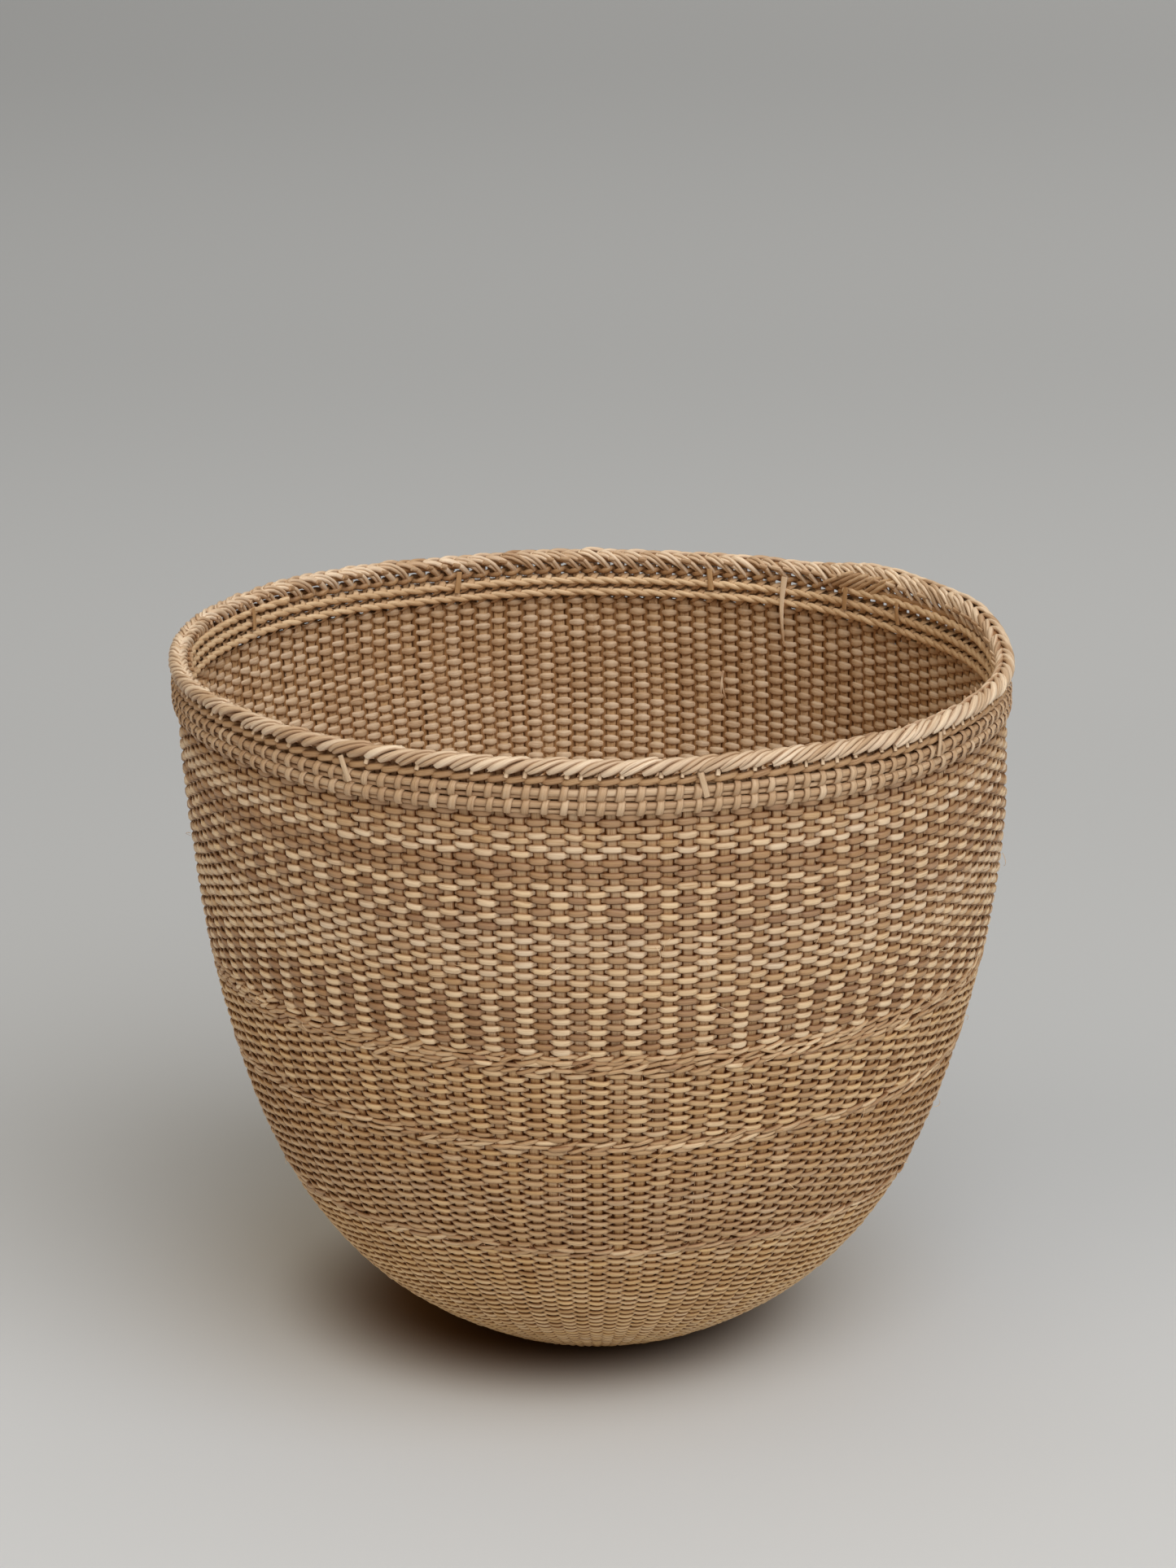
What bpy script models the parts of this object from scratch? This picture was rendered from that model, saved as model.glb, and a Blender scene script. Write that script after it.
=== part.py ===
"""Burden basket: a deep round basket of split cane woven on upright stakes.

The wall is woven in four zones parted by three twined bands. Above it the bare stakes
carry two lashed hoops, a twined course and the folded border of the mouth.
Lengths are in metres, +Z is up, and the origin is on the floor under the base's centre.
"""

import math

import bpy

# Wall; the stations run up its outer side after the base's edge
WALL_HEIGHT = 0.316
WALL_TOP_RADIUS = 0.197
WALL_THICKNESS = 0.006
BASE_RADIUS = 0.034
STATION_HEIGHT_SHARES = (0.0228, 0.118, 0.239, 0.382, 0.534, 0.688, 0.845, 1.0)
STATION_RADIUS_SHARES = (0.345, 0.576, 0.738, 0.846, 0.917, 0.968, 0.996, 1.0)
CURVE_STEPS = 16

# Twined bands: the height of each one's middle, its width on the wall and how far it stands out
BASE_BAND_LEVEL = 0.0934
BASE_BAND_WIDTH = 0.005
LOWER_BAND_LEVEL = 0.1539
LOWER_BAND_WIDTH = 0.005
UPPER_BAND_LEVEL = 0.1964
UPPER_BAND_WIDTH = 0.010
BAND_BULGE = 0.0006

# Woven zones: how deep the wall bends between the places where it passes over and under
WEAVE_RELIEF = 0.0016

# Bare stakes above the weave
STAKE_THICKNESS = 0.002

# Hoops: a thick rod over a thin one outside the stakes, and the ridge of their lashing inside
THICK_ROD_HEIGHT = 0.0036
THICK_ROD_DEPTH = 0.0032
THIN_ROD_HEIGHT = 0.0015
THIN_ROD_DEPTH = 0.0022
LASHING_HEIGHT = 0.0042
LASHING_DEPTH = 0.0027
HOOP_SPACE = 0.0008

# Twined course and border
TWINING_HEIGHT = 0.0044
TWINING_DEPTH = 0.0032
BORDER_HEIGHT = 0.007
BORDER_DEPTH = 0.0085
BORDER_OVERHANG = 0.0015

# Ties: the angle of each round the mouth, in degrees from the front towards +X
TIE_WIDTH = 0.0024
TIE_THICKNESS = 0.0008
TIE_EDGE = 0.0002
OUTER_TIES = {
    "front_left_tie": (-33.0, -14.0),
    "front_tie": (14.0, 3.0),
    "front_right_tie": (51.6, 6.0),
}
INNER_TIES = {
    "left_tie": (-119.3, 5.0),
    "back_left_tie": (-158.8, -8.0),
    "back_tie": (161.0, 6.0),
    "back_right_tie": (137.0, -5.0),
    "right_tie": (125.7, 7.0),
}

# Loose splint ends inside the back wall; the split one starts a drop below the weave's top
SPLINT_RADIUS = 0.0006
LOOSE_END_ANGLE = 148.3
LOOSE_END_LENGTH = 0.036
LOOSE_END_SWAY = 0.0015
SPLIT_END_ANGLE = 159.0
SPLIT_END_DROP = 0.035
SPLIT_END_LENGTH = 0.014
SPLIT_END_SWAY = 0.001
SPLINT_POINTS = 7

# Fits and facets; a turned ring starts on the right unless it is given another angle
CLEARANCE = 0.0003
MERGE_DISTANCE = 0.00001
START_ANGLE = 90.0
SEGMENTS = 60
UPPER_COLUMNS = 96
ROUND_POINTS = 8
FLAT_POINTS = 6
BORDER_POINTS = 12

# Colours, linear
CANE_COLOURS = {
    "weave": (0.29, 0.17, 0.085, 1.0),
    "band": (0.28, 0.16, 0.075, 1.0),
    "stake": (0.31, 0.19, 0.10, 1.0),
    "hoop": (0.40, 0.26, 0.14, 1.0),
    "lashing": (0.33, 0.21, 0.11, 1.0),
    "twining": (0.20, 0.10, 0.045, 1.0),
    "border": (0.42, 0.27, 0.16, 1.0),
    "tie": (0.45, 0.30, 0.18, 1.0),
}
CANE_ROUGHNESS = 0.55


def clear_scene():
    for item in list(bpy.data.objects):
        bpy.data.objects.remove(item, do_unlink=True)


def new_collection(name):
    collection = bpy.data.collections.new(name)
    bpy.context.scene.collection.children.link(collection)
    return collection


def dress(item, kind):
    """Gives a piece its own cane material."""
    material = bpy.data.materials.new(item.name + "_cane")
    material.use_nodes = True
    shader = material.node_tree.nodes["Principled BSDF"]
    shader.inputs["Base Color"].default_value = CANE_COLOURS[kind]
    shader.inputs["Roughness"].default_value = CANE_ROUGHNESS
    shader.inputs["Metallic"].default_value = 0.0
    item.data.materials.append(material)


def add_mesh_object(collection, name, mesh):
    item = bpy.data.objects.new(name, mesh)
    collection.objects.link(item)
    return item


def around(radius, angle_deg, height):
    """A place at an angle round the basket, counted from the front towards +X."""
    angle = math.radians(angle_deg)
    return (radius * math.sin(angle), -radius * math.cos(angle), height)


def turned(collection, name, kind, outline, closed=True, segments=SEGMENTS, start=START_ANGLE):
    """Turns an outline of (radius, height) points, run down its outer side, into a ring or a disc."""
    vertices = [around(radius, start, height) for radius, height in outline]
    edges = [(i, i + 1) for i in range(len(vertices) - 1)]
    if closed:
        edges.append((len(vertices) - 1, 0))
    mesh = bpy.data.meshes.new(name)
    mesh.from_pydata(vertices, edges, [])
    item = add_mesh_object(collection, name, mesh)
    screw = item.modifiers.new("turn", "SCREW")
    screw.axis = "Z"
    screw.angle = math.tau
    screw.steps = segments
    screw.render_steps = segments
    screw.use_merge_vertices = True
    screw.merge_threshold = MERGE_DISTANCE
    screw.use_smooth_shade = True
    dress(item, kind)
    return item


def curve_between(before, start, end, after, steps):
    """Points from start towards end on a smooth curve that also heeds the two neighbours."""
    points = []
    for step in range(steps):
        t = step / steps
        weights = (
            (-t + 2.0 * t**2 - t**3) / 2.0,
            (2.0 - 5.0 * t**2 + 3.0 * t**3) / 2.0,
            (t + 4.0 * t**2 - 3.0 * t**3) / 2.0,
            (-(t**2) + t**3) / 2.0,
        )
        corners = (before, start, end, after)
        points.append(
            tuple(sum(w * c[axis] for w, c in zip(weights, corners)) for axis in (0, 1))
        )
    return points


def wall_curve():
    """The wall's outer side from the base's rim to the weave's top, as (radius, height) points."""
    stations = [(BASE_RADIUS, 0.0)]
    for radius_share, height_share in zip(STATION_RADIUS_SHARES, STATION_HEIGHT_SHARES):
        stations.append((radius_share * WALL_TOP_RADIUS, height_share * WALL_HEIGHT))
    last, before_last = stations[-1], stations[-2]
    beyond = (2.0 * last[0] - before_last[0], 2.0 * last[1] - before_last[1])
    row = [(0.0, 0.0)] + stations + [beyond]
    points = []
    for i in range(1, len(row) - 2):
        points += curve_between(*row[i - 1 : i + 3], CURVE_STEPS)
    points.append(last)
    return points


class Wall:
    """The wall's outer curve, read by the distance along it from the base's rim."""

    def __init__(self, points):
        self.points = points
        self.lengths = [0.0]
        for start, end in zip(points, points[1:]):
            self.lengths.append(self.lengths[-1] + math.dist(start, end))

    def span(self, length):
        """The piece of the curve that holds a length, and the share of the way along it."""
        for i in range(1, len(self.lengths)):
            if length <= self.lengths[i] or i == len(self.lengths) - 1:
                step = self.lengths[i] - self.lengths[i - 1]
                return i, (length - self.lengths[i - 1]) / step

    def at(self, length, inward=0.0):
        """The point at a length along the curve, moved inward along the wall's normal."""
        i, share = self.span(length)
        start, end = self.points[i - 1], self.points[i]
        run, rise = end[0] - start[0], end[1] - start[1]
        slope = math.hypot(run, rise)
        return (
            start[0] + share * run - inward * rise / slope,
            start[1] + share * rise + inward * run / slope,
        )

    def length_at(self, height):
        """The length along the curve at which it reaches a height."""
        for i in range(1, len(self.points)):
            low, high = self.points[i - 1][1], self.points[i][1]
            if low <= height <= high:
                share = (height - low) / (high - low)
                return self.lengths[i - 1] + share * (self.lengths[i] - self.lengths[i - 1])
        return self.lengths[-1]

    def inner_radius(self, height):
        """The radius of the wall's inner side at a height, or of its top where it ends below."""
        inner = [self.at(length, WALL_THICKNESS) for length in self.lengths]
        for low, high in zip(inner, inner[1:]):
            if low[1] <= height <= high[1]:
                share = (height - low[1]) / (high[1] - low[1])
                return low[0] + share * (high[0] - low[0])
        return inner[-1][0]


def wall_section(wall, low, high, points, bulge):
    """The section of the wall between two lengths along its curve, with an outward swell."""
    outer, inner = [], []
    for i in range(points):
        share = i / (points - 1)
        length = high + share * (low - high)
        outer.append(wall.at(length, -bulge * math.sin(math.pi * share)))
        inner.append(wall.at(length, WALL_THICKNESS))
    return outer + inner[::-1]


def weave_relief(item, rows):
    """Bends a woven zone by turns in and out, within the wall, between its top and bottom rows.

    Its first column passes inside at every second row.
    """
    graph = bpy.context.evaluated_depsgraph_get()
    mesh = bpy.data.meshes.new_from_object(item.evaluated_get(graph))
    item.modifiers.clear()
    item.data = mesh
    ring = 2 * rows
    flat = [vertex.co.copy() for vertex in mesh.vertices]
    for vertex in mesh.vertices:
        column, place = divmod(vertex.index, ring)
        row = min(place, ring - 1 - place)
        if row in (0, rows - 1):
            continue
        on_outside = place < rows
        passes_outside = (column + row) % 2 == 1
        if on_outside == passes_outside:
            continue
        opposite = flat[column * ring + ring - 1 - place]
        across = opposite - flat[vertex.index]
        vertex.co += across * (WEAVE_RELIEF / across.length)


def rod_outline(inner_radius, depth, bottom, height, points):
    """A rod's rounded section, from its top round its outer side, as (radius, height) points."""
    middle_radius = inner_radius + depth / 2.0
    middle_height = bottom + height / 2.0
    outline = []
    for i in range(points):
        angle = math.tau * (i + 0.5) / points
        stretch = 1.0 / math.cos(math.pi / points)
        across = math.sin(angle) * stretch * depth / 2.0
        up = math.cos(angle) * stretch * height / 2.0
        outline.append((middle_radius + across, middle_height + up))
    return outline


def facet_radius(radius, segments=SEGMENTS):
    """How near the axis the flats of a turned ring come, when its corners are at a radius."""
    return radius * math.cos(math.pi / segments)


def tie(collection, name, radius, angle_deg, lean_deg, low, high):
    """A short flat strip, upright but for its lean, between two heights."""
    lean = math.radians(lean_deg)
    length = (high - low - TIE_WIDTH * abs(math.sin(lean))) / math.cos(lean)
    bpy.ops.mesh.primitive_cube_add(size=1.0)
    item = bpy.context.active_object
    item.name = name
    item.data.name = name
    for user in list(item.users_collection):
        user.objects.unlink(item)
    collection.objects.link(item)
    size = (TIE_WIDTH, TIE_THICKNESS, length)
    for vertex in item.data.vertices:
        vertex.co = [c * s for c, s in zip(vertex.co, size)]
    item.location = around(radius, angle_deg, (low + high) / 2.0)
    item.rotation_euler = (0.0, lean, math.radians(angle_deg))
    bevel = item.modifiers.new("soft_edges", "BEVEL")
    bevel.width = TIE_EDGE
    bevel.segments = 1
    dress(item, "tie")
    return item


def splint_end(collection, name, wall, nearest, angle_deg, top, length, sway):
    """A loose splint that hangs down the inside, clear of the wall and of a radius, and bows."""
    wall_radius = facet_radius(wall.inner_radius(top - length), UPPER_COLUMNS) - CLEARANCE
    radius = min(nearest, wall_radius) - SPLINT_RADIUS
    curve = bpy.data.curves.new(name, "CURVE")
    curve.dimensions = "3D"
    curve.bevel_depth = SPLINT_RADIUS
    curve.bevel_resolution = 1
    curve.use_fill_caps = True
    spline = curve.splines.new("POLY")
    spline.points.add(SPLINT_POINTS - 1)
    for i, point in enumerate(spline.points):
        share = i / (SPLINT_POINTS - 1)
        aside = math.degrees(sway * math.sin(math.pi * share) / radius)
        point.co = (*around(radius, angle_deg + aside, top - share * length), 1.0)
        point.radius = 1.0 - share / 2.0
    item = bpy.data.objects.new(name, curve)
    collection.objects.link(item)
    dress(item, "tie")
    return item


def make_wall(collection, wall):
    """The base, the woven zones and the twined bands, each a slice of one wall."""
    half_gap = CLEARANCE / 2.0
    edge_top = wall.at(0.0, WALL_THICKNESS)
    outline = [(0.0, edge_top[1]), edge_top, wall.at(0.0), (0.0, 0.0)]
    turned(collection, "base_start", "weave", outline, closed=False)
    base_band = wall.length_at(BASE_BAND_LEVEL)
    lower_band = wall.length_at(LOWER_BAND_LEVEL)
    upper_band = wall.length_at(UPPER_BAND_LEVEL)
    cuts = (
        half_gap,
        base_band - BASE_BAND_WIDTH / 2.0,
        base_band + BASE_BAND_WIDTH / 2.0,
        lower_band - LOWER_BAND_WIDTH / 2.0,
        lower_band + LOWER_BAND_WIDTH / 2.0,
        upper_band - UPPER_BAND_WIDTH / 2.0,
        upper_band + UPPER_BAND_WIDTH / 2.0,
        wall.lengths[-1] + half_gap,
    )
    # Each zone's name, its cane, the points up each side of its section, its swell, its columns
    # and where they start; the upper weave's first one passes inside, at the split end
    zones = (
        ("base_weave", "weave", 12, 0.0, SEGMENTS, START_ANGLE),
        ("base_twined_band", "band", 3, BAND_BULGE, SEGMENTS, START_ANGLE),
        ("lower_wall_weave", "weave", 6, 0.0, SEGMENTS, START_ANGLE),
        ("lower_twined_band", "band", 3, BAND_BULGE, SEGMENTS, START_ANGLE),
        ("middle_wall_weave", "weave", 5, 0.0, SEGMENTS, START_ANGLE),
        ("upper_twined_band", "band", 3, BAND_BULGE, SEGMENTS, START_ANGLE),
        ("upper_wall_weave", "weave", 10, 0.0, UPPER_COLUMNS, SPLIT_END_ANGLE),
    )
    for (name, kind, points, bulge, columns, start), low, high in zip(zones, cuts, cuts[1:]):
        section = wall_section(wall, low + half_gap, high - half_gap, points, bulge)
        zone = turned(collection, name, kind, section, segments=columns, start=start)
        if kind == "weave":
            weave_relief(zone, points)


def make_mouth(collection, wall):
    """The bare stakes, the hoops, the twined course, the border and the ties, from the weave up."""
    stake_middle = WALL_TOP_RADIUS - WALL_THICKNESS / 2.0
    outside = stake_middle + STAKE_THICKNESS / 2.0 + CLEARANCE
    inside = stake_middle - STAKE_THICKNESS / 2.0 - CLEARANCE
    level = WALL_HEIGHT
    hoop_tops = []
    for hoop in ("lower_hoop", "upper_hoop"):
        level += HOOP_SPACE
        thin = rod_outline(outside, THIN_ROD_DEPTH, level, THIN_ROD_HEIGHT, FLAT_POINTS)
        turned(collection, hoop + "_thin_rod", "hoop", thin)
        thick_bottom = level + THIN_ROD_HEIGHT + CLEARANCE
        thick = rod_outline(
            outside, THICK_ROD_DEPTH, thick_bottom, THICK_ROD_HEIGHT, ROUND_POINTS
        )
        turned(collection, hoop + "_thick_rod", "hoop", thick)
        top = thick_bottom + THICK_ROD_HEIGHT
        ridge_bottom = (level + top - LASHING_HEIGHT) / 2.0
        ridge = rod_outline(
            inside - LASHING_DEPTH, LASHING_DEPTH, ridge_bottom, LASHING_HEIGHT, FLAT_POINTS
        )
        turned(collection, hoop + "_lashing", "lashing", ridge)
        level = top
        hoop_tops.append(top)

    level += HOOP_SPACE
    outer_strand = rod_outline(outside, TWINING_DEPTH, level, TWINING_HEIGHT, FLAT_POINTS)
    turned(collection, "outer_twining_strand", "twining", outer_strand)
    inner_strand = rod_outline(
        inside - LASHING_DEPTH, LASHING_DEPTH, level, TWINING_HEIGHT, FLAT_POINTS
    )
    turned(collection, "inner_twining_strand", "twining", inner_strand)
    border_bottom = level + TWINING_HEIGHT + CLEARANCE
    border = rod_outline(
        outside + TWINING_DEPTH + BORDER_OVERHANG - BORDER_DEPTH,
        BORDER_DEPTH,
        border_bottom,
        BORDER_HEIGHT,
        BORDER_POINTS,
    )
    turned(collection, "folded_border", "border", border)

    stake_bottom = WALL_HEIGHT + CLEARANCE
    stake_top = border_bottom - CLEARANCE
    stakes = [
        (stake_middle + STAKE_THICKNESS / 2.0, stake_top),
        (stake_middle + STAKE_THICKNESS / 2.0, stake_bottom),
        (stake_middle - STAKE_THICKNESS / 2.0, stake_bottom),
        (stake_middle - STAKE_THICKNESS / 2.0, stake_top),
    ]
    turned(collection, "stake_collar", "stake", stakes)

    tie_top = border_bottom - CLEARANCE
    tie_low = hoop_tops[0] + HOOP_SPACE
    outer_face = outside + max(TWINING_DEPTH, THICK_ROD_DEPTH) + CLEARANCE
    for name, (angle, lean) in OUTER_TIES.items():
        radius = outer_face + TIE_THICKNESS / 2.0
        tie(collection, name, radius, angle, lean, tie_low, tie_top)
    inner_face = facet_radius(inside - LASHING_DEPTH) - CLEARANCE
    for name, (angle, lean) in INNER_TIES.items():
        radius = inner_face - TIE_THICKNESS / 2.0
        tie(collection, name, radius, angle, lean, tie_low, tie_top)
    splint_end(
        collection,
        "loose_splint_end",
        wall,
        inner_face,
        LOOSE_END_ANGLE,
        tie_top,
        LOOSE_END_LENGTH,
        LOOSE_END_SWAY,
    )
    splint_end(
        collection,
        "split_splint_end",
        wall,
        wall.inner_radius(WALL_HEIGHT),
        SPLIT_END_ANGLE,
        WALL_HEIGHT - SPLIT_END_DROP,
        SPLIT_END_LENGTH,
        SPLIT_END_SWAY,
    )


def main():
    clear_scene()
    basket = new_collection("burden_basket")
    wall = Wall(wall_curve())
    make_wall(basket, wall)
    make_mouth(basket, wall)


main()
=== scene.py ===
import math

import bpy
import numpy as np
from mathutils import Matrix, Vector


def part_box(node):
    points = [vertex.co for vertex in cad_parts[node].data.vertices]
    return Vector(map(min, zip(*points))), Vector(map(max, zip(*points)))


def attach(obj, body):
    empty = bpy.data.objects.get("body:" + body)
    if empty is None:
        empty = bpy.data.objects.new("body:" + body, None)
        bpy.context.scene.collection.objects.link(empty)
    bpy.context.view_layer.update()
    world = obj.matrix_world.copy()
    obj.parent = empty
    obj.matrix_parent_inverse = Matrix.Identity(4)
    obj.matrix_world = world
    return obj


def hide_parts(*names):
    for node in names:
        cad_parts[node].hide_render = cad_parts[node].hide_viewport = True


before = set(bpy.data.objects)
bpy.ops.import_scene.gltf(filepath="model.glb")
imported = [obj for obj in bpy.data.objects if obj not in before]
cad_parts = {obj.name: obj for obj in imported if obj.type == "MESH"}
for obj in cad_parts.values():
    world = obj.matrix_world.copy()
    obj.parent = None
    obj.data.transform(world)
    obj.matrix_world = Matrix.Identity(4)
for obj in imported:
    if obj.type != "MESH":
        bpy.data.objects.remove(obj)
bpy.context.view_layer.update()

print("frame loaded,", len(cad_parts), "nodes")

# The wall's outer profile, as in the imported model: stations up from the base's edge
wallShape = {
    "height": 0.316,
    "topRadius": 0.197,
    "thickness": 0.006,
    "baseRadius": 0.034,
    "heightShares": (0.0228, 0.118, 0.239, 0.382, 0.534, 0.688, 0.845, 1.0),
    "radiusShares": (0.345, 0.576, 0.738, 0.846, 0.917, 0.968, 0.996, 1.0),
    "steps": 16,
    "baseSteps": 12,
}

# How far the handmade form strays from a turned one, in metres; a wave is a size, turns and a phase
unevenness = {
    "roundness": 0.0007,
    "roundHeights": (0.08, 0.32),
    "roundWaves": ((1.0, 2.0, 0.6), (0.7, 3.0, 2.1), (0.4, 5.0, 0.9)),
    "belly": 0.0004,
    "bellyTwist": 24.0,
    "mouthHeights": (0.24, 0.33),
    "mouthWave": 0.0008,
    "mouthWaves": ((1.0, 2.0, 2.4), (0.6, 5.0, 1.0), (0.4, 9.0, 4.0)),
    "mouthShift": -0.0026,
    "mouthSpread": 0.0006,
    "backLeft": (-112.0, 26.0),  # where it bulges and how widely, in degrees
    "backLeftBulge": 0.0028,
    "backLeftRise": 0.0026,
    "stakeWander": 0.10,  # in stake spacings
    "frontCrowding": 0.018,  # in radians
}
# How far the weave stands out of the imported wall's middle line, so that it keeps to the outer face
weaveSeat = {"least": 0.0006, "rise": 0.0005, "riseOver": (0.03, 0.07), "fall": 0.0006, "fallOver": 0.014}


def smoothStep(low, high, value):
    share = np.clip((value - low) / (high - low), 0.0, 1.0)
    return share * share * (3.0 - 2.0 * share)


def ripple(angle, waves):
    return sum(size * np.sin(turns * angle + phase) for size, turns, phase in waves)


def randomRipple(rng, angle, waves):
    return ripple(angle, [(size, turns, rng.uniform(0.0, 6.0)) for size, turns in waves])


def profileArrays(shape):
    stations = [(shape["baseRadius"], 0.0)]
    for radiusShare, heightShare in zip(shape["radiusShares"], shape["heightShares"]):
        stations.append((radiusShare * shape["topRadius"], heightShare * shape["height"]))
    (lastRadius, lastHeight), (priorRadius, priorHeight) = stations[-1], stations[-2]
    beyond = (2.0 * lastRadius - priorRadius, 2.0 * lastHeight - priorHeight)
    row = np.array([(0.0, 0.0)] + stations + [beyond])
    points = [(share * shape["baseRadius"], 0.0) for share in np.linspace(0.0, 1.0, shape["baseSteps"])][:-1]
    for i in range(1, len(row) - 2):
        for t in np.arange(shape["steps"]) / shape["steps"]:
            weights = (
                (-t + 2.0 * t**2 - t**3) / 2.0,
                (2.0 - 5.0 * t**2 + 3.0 * t**3) / 2.0,
                (t + 4.0 * t**2 - 3.0 * t**3) / 2.0,
                (-(t**2) + t**3) / 2.0,
            )
            points.append(tuple(sum(w * corner for w, corner in zip(weights, row[i - 1 : i + 3]))))
    points.append(stations[-1])
    points = np.array(points)
    steps = np.hypot(*np.diff(points, axis=0).T)
    lengths = np.concatenate([[0.0], np.cumsum(steps)]) - shape["baseRadius"]
    along = np.gradient(points, lengths, axis=0)
    along /= np.linalg.norm(along, axis=1)[:, None]
    return lengths, points[:, 0], points[:, 1], along[:, 1], -along[:, 0]


wallLengths, wallRadii, wallHeights, wallOutR, wallOutZ = profileArrays(wallShape)
wallTop = wallLengths[-1]


def lengthAt(height):
    edge = wallShape["baseSteps"]
    return float(np.interp(height, wallHeights[edge:], wallLengths[edge:]))


def aroundAxis(angle, radius, height):
    return np.stack([radius * np.sin(angle), -radius * np.cos(angle), height + 0.0 * angle], axis=-1)


def awayFromAxis(angle):
    return aroundAxis(angle, np.ones_like(angle), np.zeros_like(angle))


def wallRise(length):
    rise = weaveSeat["rise"] * smoothStep(*weaveSeat["riseOver"], length)
    fall = weaveSeat["fall"] * smoothStep(wallTop - weaveSeat["fallOver"], wallTop, length)
    return weaveSeat["least"] + rise - fall


# A place on the wall: angle from the front towards +X, length up the profile, and how far out of its middle
def onWall(angle, length, out):
    radius, height, outR, outZ = (
        np.interp(length, wallLengths, values) for values in (wallRadii, wallHeights, wallOutR, wallOutZ)
    )
    norm = np.hypot(outR, outZ)
    outR, outZ = outR / norm, outZ / norm
    depth = out - wallShape["thickness"] / 2.0 + wallRise(length)
    return aroundAxis(angle, radius + outR * depth, height + outZ * depth), aroundAxis(angle, outR, outZ)


# The whole basket settles out of round by the same amounts, so its pieces stay together
def settle(points):
    x, y, z = points.T
    angle = np.arctan2(x, -y)
    uneven = unevenness
    mouth = smoothStep(*uneven["mouthHeights"], z)
    middle, reach = uneven["backLeft"]
    backLeft = mouth * np.exp(-(((np.degrees(angle) - middle) / reach) ** 2))
    belly = np.sin(2.0 * angle + uneven["bellyTwist"] * z)
    belly = belly * np.sin(math.pi * np.clip(z / wallShape["height"], 0.0, 1.0))
    roundness = smoothStep(*uneven["roundHeights"], z) * ripple(angle, uneven["roundWaves"])
    push = uneven["roundness"] * roundness + uneven["belly"] * belly
    push = push + uneven["mouthSpread"] * mouth + uneven["backLeftBulge"] * backLeft
    wave = uneven["mouthWave"] * mouth * ripple(angle, uneven["mouthWaves"])
    return np.stack(
        [
            x + push * np.sin(angle) + uneven["mouthShift"] * mouth,
            y - push * np.cos(angle),
            z + wave + uneven["backLeftRise"] * backLeft,
        ],
        axis=-1,
    )


# One zone's stakes: where each stands, with the wander of handwork
class StakeRing:
    swingLength = 0.021
    swingRange = (0.3, 1.0)
    offsetSpread = 0.5
    phaseSpread = 0.9

    def __init__(self, count, seed):
        rng = np.random.default_rng(seed)
        self.count = count
        self.offset = rng.normal(0.0, self.offsetSpread, count) * unevenness["stakeWander"]
        self.swing = rng.uniform(*self.swingRange, count) * unevenness["stakeWander"]
        self.phase = np.cumsum(rng.normal(0.0, self.phaseSpread, count))

    def angle(self, place, length):
        low = np.floor(place).astype(int)
        share = place - low
        wander = 0.0
        for index, weight in ((low % self.count, 1.0 - share), ((low + 1) % self.count, share)):
            swing = self.swing[index] * np.sin(length / self.swingLength + self.phase[index])
            wander = wander + weight * (self.offset[index] + swing)
        turn = math.tau * (place + wander) / self.count + math.pi
        return turn - unevenness["frontCrowding"] * np.sin(2.0 * turn)


# Links or sets a node's inputs, by name or by number
def feed(tree, node, inputs):
    for key, value in dict(inputs).items():
        if isinstance(value, bpy.types.NodeSocket):
            tree.links.new(value, node.inputs[key])
        else:
            node.inputs[key].default_value = value


def addNode(tree, kind, inputs=(), **options):
    node = tree.nodes.new(kind)
    for option, value in options.items():
        setattr(node, option, value)
    feed(tree, node, inputs)
    return node


def addMath(tree, operation, *values, **options):
    return addNode(tree, "ShaderNodeMath", enumerate(values), operation=operation, **options).outputs[0]


# The splints are swept by one node tree along guide lines that carry these numbers
# crest and edges set how much painted shade a splint gets: the lower the crest, the more shade
guideNumbers = {"girth": 1.0, "tone": 0.5, "hue": 0.5, "crest": 1.0, "edges": 1.0}
startLengths = (0.0, 9.0)  # between which a splint's place in the cane's pattern is drawn, in metres
sweepInputs = {
    "Width": ("Float", 0.0033),
    "Thickness": ("Float", 0.0019),
    "Sides": ("Int", 6),
    "Groove": ("Float", 0.0),
    "Capped": ("Bool", False),
}
grooveReach = 0.45  # of the half width


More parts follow.
